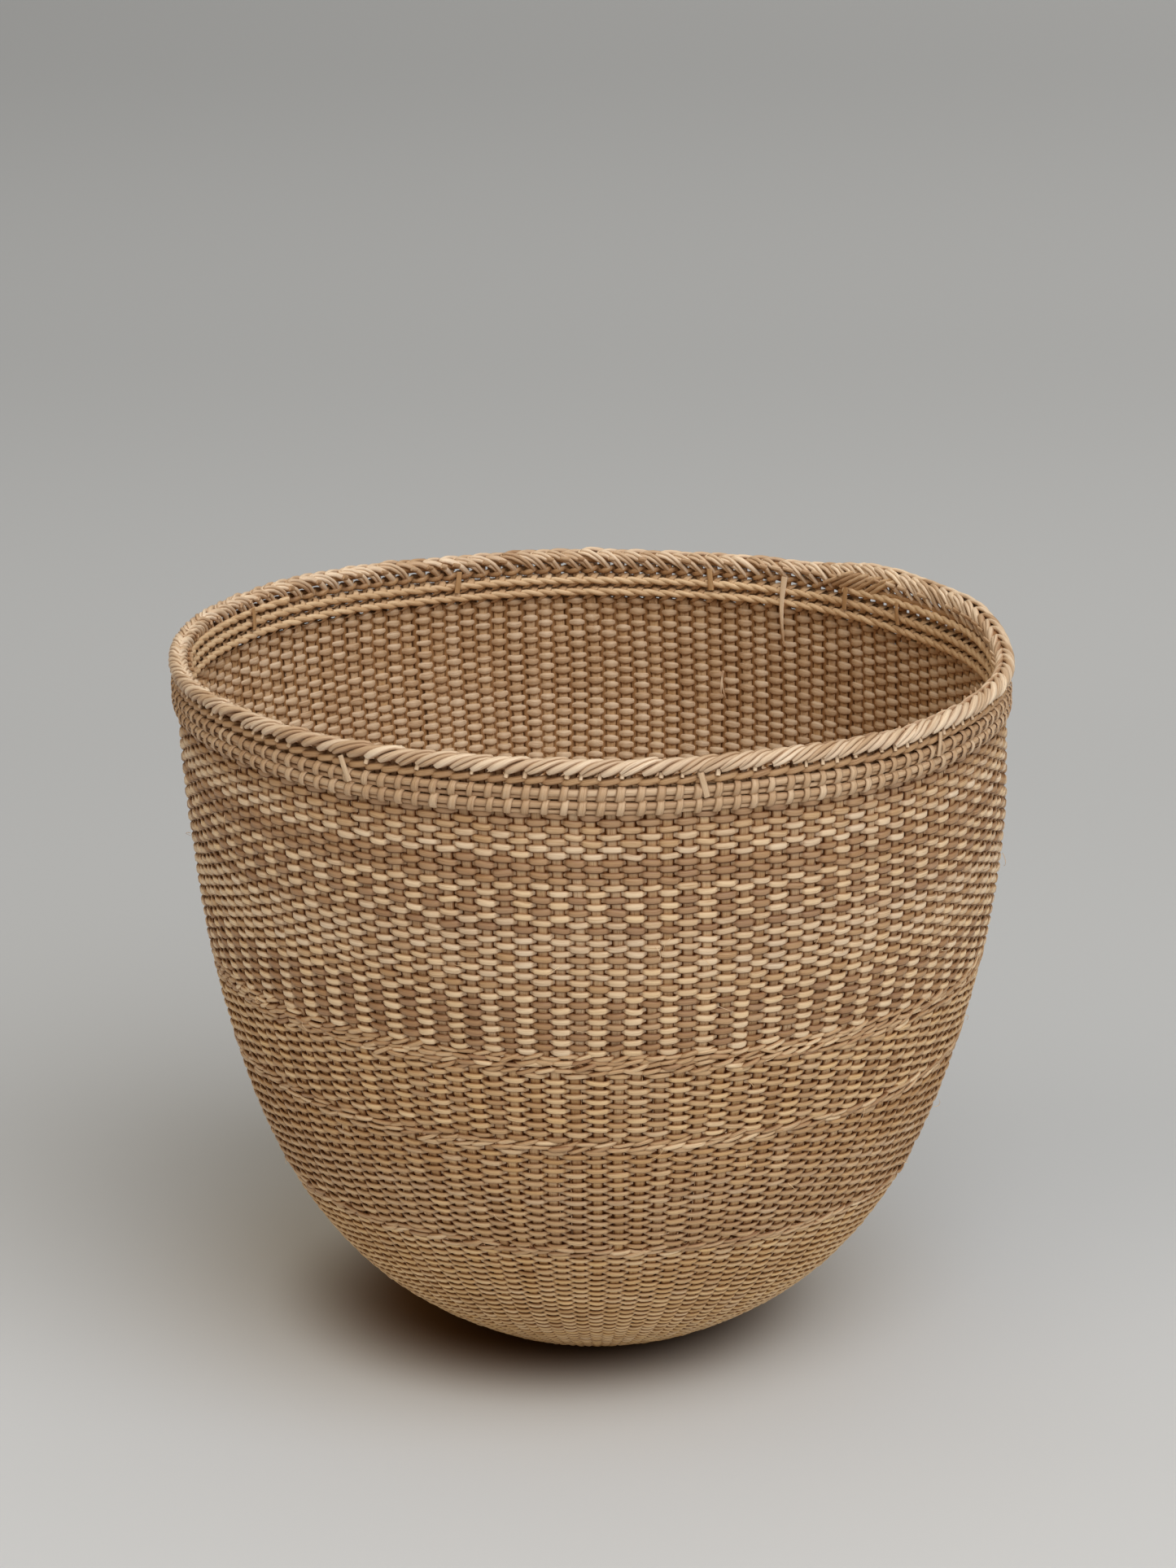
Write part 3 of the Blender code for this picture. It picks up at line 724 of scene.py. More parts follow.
def crossBase(settings):
    places = (np.arange(settings["splints"]) - (settings["splints"] - 1) / 2.0) * settings["spacing"]
    rng = np.random.default_rng(31)
    guides = []
    for direction in (0, 1):
        for number, offset in enumerate(places):
            half = math.sqrt(max(settings["radius"] ** 2 - offset**2, settings["shortest"] ** 2))
            half = half + settings["tuck"]
            run = np.linspace(-half, half, settings["points"])
            phase = run / settings["spacing"] - 0.5 + number + direction
            height = wallShape["thickness"] / 2.0 + settings["reach"] * np.cos(math.pi * phase)
            side = np.full(len(run), offset)
            x, y = (run, side) if direction == 0 else (side, run)
            outward = np.tile([0.0, 0.0, -1.0], (len(run), 1))
            points = np.stack([x, y, height], axis=-1)
            guides.append(guideLine(points, outward, tone=rng.uniform(*settings["tones"]),
                                    along=rng.uniform(*startLengths), hue=settings["hue"],
                                    crest=settings["crest"]))
    sweepSplints("baseCross", guides, "weft", "weave_cane", ["base_start"], Width=settings["width"],
                 Thickness=settings["thickness"], Capped=True)


crossBase(baseStart)

bandShape = {"width": 0.0027, "thickness": 0.0018, "reach": 0.0014, "slant": 0.0009, "turn": 0.64,
             "softness": 0.13, "doming": 0.2, "pointsPerStake": 6, "unevenStrokes": 0.0006,
             "unevenSlant": 0.0008, "rowShift": 0.3, "reaches": (1.05, 0.2), "girths": (0.8, 1.15),
             "diveGirth": 0.7, "tone": (0.55, 0.18), "hue": 0.5, "leastCrest": 0.1}


# A twined row: two strands, each over one stake and behind the next, leaning up to the right in front
def twinedStrands(count, row, shape):
    steps = shape["pointsPerStake"]
    place = np.arange(count * steps) / steps
    for strand in range(2):
        signed = np.mod(place + strand + row + 1.0, 2.0) - 1.0
        away = np.abs(signed)
        behind = np.sign(signed) * (1.0 - away) / (1.0 - shape["turn"])
        lean = np.where(away < shape["turn"], signed / shape["turn"], behind)
        stroke = np.floor((place + strand + row + 1.0) / 2.0).astype(int) % (count // 2)
        yield place, plainDepth(away, shape), lean, stroke


def twineBand(name, shape):
    band = twinedBands[name]
    ring = StakeRing(band["stakes"], band["seed"])
    rng = np.random.default_rng(band["seed"] + 50)
    strokes = band["stakes"] // 2
    guides = []
    for row in range(band["rows"]):
        middle = lengthAt(band["level"]) + ((row + 0.5) / band["rows"] - 0.5) * band["width"]
        for place, depth, lean, stroke in twinedStrands(band["stakes"], row, shape):
            angle = ring.angle(place + shape["rowShift"] * (row % 2), middle)
            jump = shape["unevenStrokes"] * rng.normal(0.0, 1.0, strokes)[stroke] * np.abs(depth)
            slant = shape["slant"] + shape["unevenSlant"] * rng.normal(0.0, 1.0, strokes)[stroke]
            length = middle + bandShift(band, angle) + slant * lean + jump
            reach = shape["reach"] * rng.normal(*shape["reaches"], strokes)[stroke]
            points, outward = onWall(angle, length, reach * depth)
            girth = rng.uniform(*shape["girths"], strokes)[stroke]
            girth = girth * (shape["diveGirth"] + (1.0 - shape["diveGirth"]) * np.abs(depth))
            tone = rng.normal(*shape["tone"], strokes)[stroke]
            crest = np.clip(depth + shape["leastCrest"], 0.0, 1.0)
            guides.append(guideLine(points, outward, closed=True, along=rng.uniform(*startLengths),
                                    girth=girth, tone=tone, hue=shape["hue"], crest=crest))
    sweepSplints(name + "TwinedBand", guides, "band", "band_cane", [name + "_twined_band"],
                 Width=shape["width"], Thickness=shape["thickness"])


for name in twinedBands:
    twineBand(name, bandShape)
print("bands twined")

# Everything above the weave follows the upper wall's stakes
mouthRing = StakeRing(144, wovenZones[-1]["seed"] + 100)
mouthStakes = mouthRing.count


def onMouth(place, radius, height):
    angle = mouthRing.angle(place, wallTop)
    return aroundAxis(angle, radius, height), angle


def outwardFrom(angle, radius, height, centreRadius, centreHeight):
    away = aroundAxis(angle, radius - centreRadius, height - centreHeight)
    return away / np.linalg.norm(away, axis=1)[:, None]


def boxHeights(node):
    low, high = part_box(node)
    return low.z, high.z


# The border's end is tucked over its start at the back right, which lifts it there
hump = {
    "starts": 84.0, "full": (106.0, 126.0), "ends": 146.0, "foot": 0.0044, "stretch": 0.55,
    # The end's strands, run in along the mouth: how many, where they start, how far they go, and their
    # radii and heights over the border's foot on the way, which sink and rise with the hump
    "tails": (
        # The first tail runs low under the border, and its dark tone is painted shade
        {"strands": 3, "from": 141.0, "apart": 3.0, "reach": 34.0, "rise": 0.0004, "tone": 0.36,
         "radius": (0.1936, 0.1930, 0.1932, 0.1946), "height": (-0.0006, 0.0018, 0.0022, 0.0006)},
        {"strands": 7, "from": 141.5, "apart": 1.5, "reach": 6.5, "rise": 0.0, "tone": 0.62,
         "radius": (0.1920, 0.1908, 0.1912, 0.1944), "height": (-0.0004, 0.0044, 0.0088, 0.0114)},
    ),
    "tailPoints": 36,
    "tailShares": (0.62, 0.36),
    "tailStray": 0.2,
    "tailGirths": (0.95, 1.2),
    "tailToneSpread": 0.1,
    "tailHues": (0.2, 0.6),
    "tailCrest": 0.9,
}


def humpShare(angle):
    degrees = np.degrees(np.mod(angle, math.tau))
    rise = smoothStep(hump["starts"], hump["full"][0], degrees)
    return rise * (1.0 - smoothStep(hump["full"][1], hump["ends"], degrees))


def humpAt(place):
    return humpShare(mouthRing.angle(np.array([float(place)]), wallTop))[0]


collar = {"radius": 0.1942, "width": 0.0036, "thickness": 0.0016, "overlap": 0.004, "tuck": 0.0008,
          "points": 6, "girths": (0.85, 1.1), "tone": (0.45, 0.12), "hues": (0.3, 0.6), "crest": 0.5}


def standCollar(settings):
    low, high = boxHeights("stake_collar")
    rng = np.random.default_rng(61)
    guides = []
    for stake in range(mouthStakes):
        top = high + settings["tuck"] + hump["foot"] * humpAt(stake)
        height = np.linspace(low - settings["overlap"], top, settings["points"])
        points, angle = onMouth(np.full(len(height), float(stake)), settings["radius"], height)
        guides.append(guideLine(points, awayFromAxis(angle), girth=rng.uniform(*settings["girths"]),
                                tone=rng.normal(*settings["tone"]), hue=rng.uniform(*settings["hues"]),
                                along=rng.uniform(*startLengths), crest=settings["crest"]))
    sweepSplints("collarStakes", guides, "stake", "stake_cane", ["stake_collar"], Width=settings["width"],
                 Thickness=settings["thickness"], Sides=stakeSizes["sides"], Groove=stakeSizes["groove"])


standCollar(collar)

# Waves here are a size and turns, with phases drawn at random
hoops = {
    "thick": {"depth": 0.0033, "height": 0.0036, "tone": 0.50, "sides": 12},
    "thin": {"depth": 0.0023, "height": 0.0023, "tone": 0.38, "sides": 8},
    "innerRadius": 0.1953,
    "drop": 0.0006,
    "pointsPerStake": 2,
    "driftWaves": ((0.00022, 7.0), (0.00022, 16.0)),
    "toneWaves": ((0.12, 3.0), (0.06, 13.0)),
    "girthWaves": ((0.04, 23.0),),
    "hue": 0.2,
}
# The ridge inside each hoop: two strands laid up like a rope, one bead to a stake, its raised top painted
# lighter as a highlight
ridgeRope = {"radius": 0.1916, "width": 0.0028, "thickness": 0.0022, "up": 0.0007, "in": 0.0006,
             "pointsPerStake": 4, "sides": 10, "tone": 0.76, "beadHighlight": 0.05, "hue": 0.5, "otherStart": 3.0,
             "driftWaves": ((0.00015, 11.0),), "toneWaves": ((0.12, 4.0),), "girthWave": (0.05, 19.0, 0.0),
             "shift": 0.25}


# Two strands laid up like a rope inside the mouth, whole or from one angle to another in degrees
def twistRope(name, node, height, rng, span=None, rise=0.0):
    rope = ridgeRope
    place = np.arange(mouthStakes * rope["pointsPerStake"]) / rope["pointsPerStake"]
    if span:
        place = place[: int(len(place) * (span[1] - span[0]) / 360.0)]
        place = place + (span[0] + 180.0) / 360.0 * mouthStakes
    strands = []
    for strand in (0, 1):
        twist = math.pi * (place + strand)
        drift = randomRipple(rng, math.tau * place / mouthStakes, rope["driftWaves"])
        angle = mouthRing.angle(place + rope["shift"], wallTop)
        lift = rise * humpShare(angle) + rope["up"] * np.cos(twist) + drift
        points = aroundAxis(angle, rope["radius"] + rope["in"] * np.sin(twist), height + lift)
        # Painted highlight: each strand is a little lighter where its twist lifts it
        tone = rope["tone"] + randomRipple(rng, angle, rope["toneWaves"]) + rope["beadHighlight"] * np.cos(twist)
        girth = 1.0 + ripple(angle, [rope["girthWave"]])
        strands.append(guideLine(points, -awayFromAxis(angle), closed=not span, tone=tone, girth=girth,
                                 along=strand * rope["otherStart"], hue=rope["hue"]))
    sweepSplints(name, strands, "lashing", "lashing_cane", [node], Width=rope["width"],
                 Thickness=rope["thickness"], Sides=rope["sides"], Capped=bool(span))


lashings = {
    "width": 0.0036,
    "thickness": 0.0008,
    "innerRadius": 0.1902,
    "outerRadius": 0.1989,
    # One turn round a hoop: share of the way to the next gap, in from outside, and up from the bottom
    "turn": (
        (0.00, 0.50, -0.12), (0.03, 0.86, -0.02), (0.06, 1.00, 0.22), (0.10, 1.05, 0.50), (0.14, 1.04, 0.78),
        (0.18, 0.86, 1.04), (0.23, 0.50, 1.08), (0.33, 0.18, 0.98), (0.47, 0.12, 0.76), (0.62, 0.20, 0.44),
        (0.77, 0.24, 0.16), (0.90, 0.32, -0.04),
    ),
    "start": 0.42,
    "unevenPlace": 0.03,
    "unevenGirth": 0.10,
    "girthLimits": (0.75, 1.15),
    "tone": (0.54, 0.08),
    "hue": 0.18,
    "innerHue": 0.4,  # how much yellower it is inside
    "insideTo": 0.5,  # the share of the way out to which that reaches
    "crest": 0.95,
    "margin": 0.0002,
}


def layRods(title, name, centres, rng):
    place = np.arange(mouthStakes * hoops["pointsPerStake"]) / hoops["pointsPerStake"]
    for part, height in centres.items():
        rod = hoops[part]
        points, angle = onMouth(place, hoops["innerRadius"] + rod["depth"] / 2.0, height - hoops["drop"])
        points[:, 2] += randomRipple(rng, angle, hoops["driftWaves"])
        tone = rod["tone"] + randomRipple(rng, angle, hoops["toneWaves"])
        girth = 1.0 + randomRipple(rng, angle, hoops["girthWaves"])
        guide = guideLine(points, awayFromAxis(angle), closed=True, girth=girth, tone=tone, hue=hoops["hue"])
        sweepSplints(title + part.capitalize() + "Rod", [guide], "hoop", "hoop_cane",
                     [name + "_" + part + "_rod"], Width=rod["height"], Thickness=rod["depth"],
                     Sides=rod["sides"])


def layHoop(name, seed, lash):
    rng = np.random.default_rng(seed)
    thinLow, thinHigh = boxHeights(name + "_thin_rod")
    thickLow, thickHigh = boxHeights(name + "_thick_rod")
    title = name.replace("_hoop", "") + "Hoop"
    layRods(title, name, {"thick": (thickLow + thickHigh) / 2.0, "thin": (thinLow + thinHigh) / 2.0}, rng)
    twistRope(title + "Ridge", name + "_lashing", (thinLow + thickHigh) / 2.0, rng)
    turn = np.array(lash["turn"])
    low, high = thinLow - hoops["drop"] - lash["margin"], thickHigh - hoops["drop"] + lash["margin"]
    inner, outer = lash["innerRadius"], lash["outerRadius"]
    starts = np.arange(mouthStakes) + lash["start"] + rng.normal(0.0, lash["unevenPlace"], mouthStakes)
    place = (starts[:, None] + turn[:, 0]).ravel()
    radius = np.tile(inner + turn[:, 1] * (outer - inner), mouthStakes)
    height = np.tile(low + turn[:, 2] * (high - low), mouthStakes)
    points, angle = onMouth(place, radius, height)
    outward = outwardFrom(angle, radius, height, (inner + outer) / 2.0, (low + high) / 2.0)
    girth = np.clip(1.0 + lash["unevenGirth"] * rng.normal(0.0, 1.0, mouthStakes), *lash["girthLimits"])
    tone = rng.normal(*lash["tone"], mouthStakes)
    inside = np.tile(1.0 - np.clip(turn[:, 1] / lash["insideTo"], 0.0, 1.0), mouthStakes)
    guides = [guideLine(points, outward, closed=True, girth=np.repeat(girth, len(turn)), crest=lash["crest"],
                        tone=np.repeat(tone, len(turn)), hue=lash["hue"] + lash["innerHue"] * inside)]
    sweepSplints(title + "Lashing", guides, "lashing", "lashing_cane", [name + "_lashing"],
                 Width=lash["width"], Thickness=lash["thickness"])


layHoop("lower_hoop", 71, lashings)
layHoop("upper_hoop", 72, lashings)
print("hoops lashed")

twinedCourse = {"width": 0.0033, "thickness": 0.0021, "reach": 0.0034, "innerReach": 0.0012, "slant": 0.0011,
                "turn": 0.66, "softness": 0.16, "doming": 0.1, "pointsPerStake": 6, "level": 0.40,
                "diveGirth": 0.8, "tone": (0.34, 0.1), "hue": 0.5, "leastCrest": 0.2,
                # Where a rope lies over it inside, in degrees
                "ropes": {"Right": (38.0, 137.0), "Left": (232.0, 300.0)}, "ropeRise": 0.5}


def twineCourse(shape):
    low, high = boxHeights("outer_twining_strand")
    rng = np.random.default_rng(81)
    guides = []
    for place, depth, lean, stroke in twinedStrands(mouthStakes, 0, shape):
        height = low + shape["level"] * (high - low) + shape["slant"] * lean
        reach = np.where(depth > 0.0, shape["reach"], shape["innerReach"])
        points, angle = onMouth(place, collar["radius"] + reach * depth, height)
        tone = rng.normal(*shape["tone"], mouthStakes // 2)[stroke]
        girth = shape["diveGirth"] + (1.0 - shape["diveGirth"]) * np.abs(depth)
        crest = np.clip(np.abs(depth) + shape["leastCrest"], 0.0, 1.0)
        guides.append(guideLine(points, awayFromAxis(angle), closed=True, along=rng.uniform(*startLengths),
                                girth=girth, tone=tone, hue=shape["hue"], crest=crest))
    sweepSplints("twinedCourse", guides, "twining", "twining_cane",
                 ["outer_twining_strand", "inner_twining_strand"], Width=shape["width"],
                 Thickness=shape["thickness"])
    for side, span in shape["ropes"].items():
        twistRope("course" + side + "Rope", "inner_twining_strand", (low + high) / 2.0, rng, span,
                  shape["ropeRise"] * hump["foot"])


twineCourse(twinedCourse)

# The border: each stake's end climbs inside, folds over the edge and lies back down outside
borderFold = {
    "single": (0.0037, 0.0026),  # width and thickness
    "double": (0.0024, 0.0024),
    "apart": 0.0022,
    "step": 0.0005,  # how far one of two stands out over the other
    "doubleShare": (0.45, 0.75),  # at the front left and at the back right
    "backRight": 215.0,  # degrees
    "centre": (0.1958, 0.0022),
    "core": {"radius": 0.1955, "height": 0.0030, "size": 0.0053, "tone": 0.3, "hue": 0.6, "crest": 0.25,
             "sides": 10, "stretch": 0.3},
    "girths": (0.8, 0.8, 0.82, 0.84, 0.84, 0.82, 0.78, 0.78, 0.80, 0.84, 0.94, 1.02, 1.05, 1.0, 0.9),
    "fullTop": 0.12,  # how much wider the strands are over the top at the back right
    # Stake spacings on from the stake, radius and height above the border's foot
    "path": (
        (-0.10, 0.1940, -0.0030), (0.10, 0.1929, -0.0008), (0.38, 0.1923, 0.0015), (0.74, 0.1924, 0.0035),
        (1.12, 0.1931, 0.0050), (1.48, 0.1939, 0.0055), (1.72, 0.1948, 0.0052), (1.62, 0.1957, 0.0056),
        (1.32, 0.1966, 0.0061), (1.02, 0.1976, 0.0059), (0.70, 0.1984, 0.0052), (0.38, 0.1990, 0.0041),
        (0.06, 0.1991, 0.0029), (-0.20, 0.1988, 0.0018), (-0.40, 0.1981, 0.0009),
    ),
    "between": 2,
    "unevenStretch": 0.05,
    "raisedStretch": 0.5,
    "unevenPlace": 0.06,
    "unevenLift": 0.00025,
    "tone": (0.76, 0.14),
    "pairTone": 0.08,
    "hues": (0.0, 0.12),
    "vary": (0.92, 1.08),
    "crest": 0.95,
}


def foldStrands(settings, foot, rng):
    path = np.array(settings["path"])
    fine = np.linspace(0, len(path) - 1, (len(path) - 1) * settings["between"] + 1)
    place0, radius0, height0 = (np.interp(fine, np.arange(len(path)), path[:, i]) for i in range(3))
    girth0 = np.interp(fine, np.arange(len(path)), settings["girths"])
    top = np.sin(math.pi * np.clip(fine / (len(path) - 1), 0.0, 1.0))
    few, many = settings["doubleShare"]
    strands = {"single": [], "double": []}
    for stake in range(mouthStakes):
        raised = humpAt(stake + 0.5)
        stretch = rng.normal(1.0, settings["unevenStretch"]) * (1.0 + settings["raisedStretch"] * raised)
        place = stake + place0 * stretch + rng.normal(0.0, settings["unevenPlace"])
        lift = rng.normal(0.0, settings["unevenLift"]) + hump["foot"] * raised
        tone = rng.normal(*settings["tone"])
        hue = rng.uniform(*settings["hues"])
        along = rng.uniform(*startLengths)
        backRight = math.cos(math.tau * (stake + 0.5) / mouthStakes + math.radians(settings["backRight"]))
        backRight = 0.5 - 0.5 * backRight
        kind = "double" if rng.random() < few + (many - few) * backRight else "single"
        fullness = 1.0 + settings["fullTop"] * backRight * top
        for side in (0.0,) if kind == "single" else (-0.5, 0.5):
            height = foot + height0 * (1.0 + hump["stretch"] * raised * (height0 > 0.0)) + lift
            points, angle = onMouth(place, radius0, height)
            centreRadius, centreHeight = settings["centre"]
            outward = outwardFrom(angle, radius0, height, centreRadius, foot + centreHeight + lift)
            if side:
                tangent = np.gradient(points, axis=0)
                tangent /= np.linalg.norm(tangent, axis=1)[:, None]
                apart = settings["apart"] * np.cross(tangent, outward) * girth0[:, None]
                points = points + side * (apart + settings["step"] * outward)
            girth = girth0 * fullness * rng.uniform(*settings["vary"])
            sideTone = tone + rng.normal(0.0, settings["pairTone"])
            strands[kind].append(guideLine(points, outward, girth=girth, tone=sideTone, hue=hue, along=along,
                                           crest=settings["crest"]))
    return strands


def runTails(settings, foot, rng):
    share = np.linspace(0.0, 1.0, hump["tailPoints"])
    least, more = hump["tailShares"]
    for tail in hump["tails"]:
        legs = np.linspace(0.0, 1.0, len(tail["radius"]))
        for strand in range(tail["strands"]):
            stray = rng.uniform(-hump["tailStray"], hump["tailStray"])
            start = tail["from"] - tail["apart"] * (strand + stray)
            angle = np.radians(start - tail["reach"] * share)
            radius = np.interp(share, legs, tail["radius"])
            height = foot + np.interp(share, legs, tail["height"]) * (least + more * humpShare(angle))
            height = height + tail["rise"] * strand * np.sin(math.pi * share)
            outward = outwardFrom(angle, radius, height, settings["centre"][0], foot + settings["centre"][1])
            points = aroundAxis(angle, radius, height)
            yield guideLine(points, outward, girth=rng.uniform(*hump["tailGirths"]),
                            tone=rng.normal(tail["tone"], hump["tailToneSpread"]),
                            hue=rng.uniform(*hump["tailHues"]), along=rng.uniform(*startLengths),
                            crest=hump["tailCrest"])


def foldBorder(settings):
    foot, _ = boxHeights("folded_border")
    rng = np.random.default_rng(91)
    strands = foldStrands(settings, foot, rng)
    strands["double"].extend(runTails(settings, foot, rng))
    core = settings["core"]
    angle = mouthRing.angle(np.arange(mouthStakes * 2) / 2.0, wallTop)
    raised = hump["foot"] + core["stretch"] * hump["stretch"] * core["height"]
    points = aroundAxis(angle, core["radius"], foot + core["height"] + raised * humpShare(angle))
    guide = guideLine(points, awayFromAxis(angle), closed=True, tone=core["tone"], hue=core["hue"],
                      crest=core["crest"])
    sweepSplints("borderCore", [guide], "border", "border_cane", ["folded_border"], Width=core["size"],
                 Thickness=core["size"], Sides=core["sides"])
    for kind, guides in strands.items():
        width, thickness = settings[kind]
        sweepSplints("border" + kind.capitalize() + "s", guides, "border", "border_cane", ["folded_border"],
                     Width=width, Thickness=thickness, Sides=8, Capped=True)


foldBorder(borderFold)

# Short pale ends of the folded stakes: below the border outside, and above its foot inside
cutEnds = {
    "width": 0.0026,
    "thickness": 0.0012,
    "points": 4,
    "lengths": (0.7, 1.1),
    "girths": (0.7, 1.1),
    "unevenPlace": 0.08,
    "hue": 0.2,
    "sides": {
        "outside": {"share": 0.8, "place": (-0.40, -0.46), "radius": (0.1976, 0.1987),
                    "height": (0.0008, -0.0019), "tones": (0.75, 1.0)},
        "inside": {"share": 0.7, "place": (0.45, 1.0), "radius": (0.1916, 0.1894),
                   "height": (0.0028, 0.0042), "tones": (0.35, 0.75)},
    },
}


def showCutEnds(settings):
    foot, _ = boxHeights("folded_border")
    rng = np.random.default_rng(95)
    guides = []
    for side in settings["sides"].values():
        for stake in range(mouthStakes):
            if rng.random() > side["share"]:
                continue
            share = np.linspace(0.0, rng.uniform(*settings["lengths"]), settings["points"])
            ranges = (side["place"], side["radius"], side["height"])
            place, radius, height = (start + share * (end - start) for start, end in ranges)
            height = foot + hump["foot"] * humpAt(stake + 0.5) + height
            points, angle = onMouth(stake + place + rng.normal(0.0, settings["unevenPlace"]), radius, height)
            guides.append(guideLine(points, awayFromAxis(angle), girth=rng.uniform(*settings["girths"]),
                                    tone=rng.uniform(*side["tones"]), hue=settings["hue"],
                                    along=rng.uniform(*startLengths)))
    sweepSplints("borderCutEnds", guides, "border", "border_cane", ["folded_border"], Width=settings["width"],
                 Thickness=settings["thickness"], Capped=True)


showCutEnds(cutEnds)
print("border folded")

# Ties over the hoops: angle round the mouth and lean, in degrees
ties = {
    "outer": {
        "ties": {"front_left_tie": (-33.0, -24.0), "front_tie": (14.0, -16.0),
                 "front_right_tie": (51.6, 6.0)},
        "radius": 0.1993, "faces": 1.0, "tones": (0.55, 0.75), "hue": 0.2,
    },
    "inner": {
        "ties": {"left_tie": (-119.3, 5.0), "back_left_tie": (-158.8, -8.0), "back_tie": (161.0, 6.0),
                 "back_right_tie": (137.0, -5.0), "right_tie": (125.7, 7.0)},
        "radius": 0.1894, "faces": -1.0, "tones": (0.4, 0.55), "hue": 0.65,
    },
    "width": 0.0030,
    "thickness": 0.0009,
    "above": 0.0006,
    "bow": 0.0003,
    "points": 7,
}


def bindTies(settings):
    rng = np.random.default_rng(97)
    share = np.linspace(-0.5, 0.5, settings["points"])
    for side in (settings["outer"], settings["inner"]):
        for node, (angleDeg, leanDeg) in side["ties"].items():
            low, high = boxHeights(node)
            height = np.linspace(low, high + settings["above"], settings["points"])
            lean = math.tan(math.radians(leanDeg)) * (high - low) * share / side["radius"]
            angle = math.radians(angleDeg) + lean
            bow = settings["bow"] * np.cos(math.pi * share)
            points = aroundAxis(angle, side["radius"] + side["faces"] * bow, height)
            guide = guideLine(points, side["faces"] * awayFromAxis(angle), tone=rng.uniform(*side["tones"]),
                              hue=side["hue"], along=rng.uniform(*startLengths))
            name = node.replace("_", " ").title().replace(" ", "")
            sweepSplints(name, [guide], "lashing", "tie_cane", [node], Width=settings["width"],
                         Thickness=settings["thickness"], Sides=8, Capped=True)


bindTies(ties)

# Splint ends that hang inside the back wall, one of them split in two
looseEnds = {
    "loose_splint_end": {"name": "looseSplintEnd", "forks": (0.0,), "angle": 148.3, "width": 0.0037,
                         "sway": 0.0015, "radius": 0.1888},
    "split_splint_end": {"name": "splitSplintEnd", "forks": (-1.0, 1.0), "angle": 159.0, "width": 0.0014,
                         "sway": 0.001, "radius": 0.1880},
}
looseShape = {"thickness": 0.0005, "points": 12, "forkFrom": 0.35, "fork": 0.0016, "fallIn": 0.0006,
              "taper": 0.72, "tone": 1.1, "fade": 0.8, "hue": 0.15}


def hangLooseEnds(ends, shape):
    share = np.linspace(0.0, 1.0, shape["points"])
    for node, end in ends.items():
        low, high = boxHeights(node)
        guides = []
        for fork in end["forks"]:
            sway = end["sway"] * np.sin(math.pi * share)
            sway = sway + fork * shape["fork"] * np.maximum(share - shape["forkFrom"], 0.0)
            angle = math.radians(end["angle"]) + sway / end["radius"]
            points = aroundAxis(angle, end["radius"] - shape["fallIn"] * share, high - share * (high - low))
            guides.append(guideLine(points, -awayFromAxis(angle), girth=1.0 - shape["taper"] * share,
                                    tone=shape["tone"] - shape["fade"] * share**2, hue=shape["hue"]))
        sweepSplints(end["name"], guides, "tie", "tie_cane", [node], Width=end["width"],
                     Thickness=shape["thickness"], Sides=8, Capped=True)


hangLooseEnds(looseEnds, looseShape)

# Stray fibres that stand off the weave
strayFibres = {"count": 90, "thickness": 0.00028, "shortest": 0.004, "longest": 0.011, "points": 7,
               "heading": 0.9, "curl": 1.2, "lowest": 0.17, "fromTop": 0.012, "radius": 0.19, "foot": 0.0027,
               "lift": 0.0022, "arches": (0.5, 1.0), "taper": 0.5, "tones": (0.6, 1.0), "hues": (0.2, 0.8)}


def raiseFibres(settings):
    rng = np.random.default_rng(99)
    share = np.linspace(0.0, 1.0, settings["points"])
    guides = []
    for _ in range(settings["count"]):
        step = rng.uniform(settings["shortest"], settings["longest"]) / settings["points"]
        heading = rng.uniform(-settings["heading"], settings["heading"])
        direction = heading + rng.normal(0.0, settings["curl"]) * share
        side = np.cumsum(np.cos(direction)) * step * rng.choice((-1.0, 1.0))
        start = rng.uniform(settings["lowest"], wallTop - settings["fromTop"])
        length = start + np.cumsum(np.sin(direction)) * step
        angle = rng.uniform(-math.pi, math.pi) + side / settings["radius"]
        arch = np.sin(math.pi * share * rng.uniform(*settings["arches"]))
        points, outward = onWall(angle, length, settings["foot"] + settings["lift"] * arch)
        guides.append(guideLine(points, outward, girth=1.0 - settings["taper"] * share,
                                tone=rng.uniform(*settings["tones"]), hue=rng.uniform(*settings["hues"])))
    sweepSplints("strayFibres", guides, "tie", "weave_cane", ["upper_wall_weave"],
                 Width=settings["thickness"], Thickness=settings["thickness"], Sides=4, Capped=True)


raiseFibres(strayFibres)
print("ties, loose ends and fibres placed")

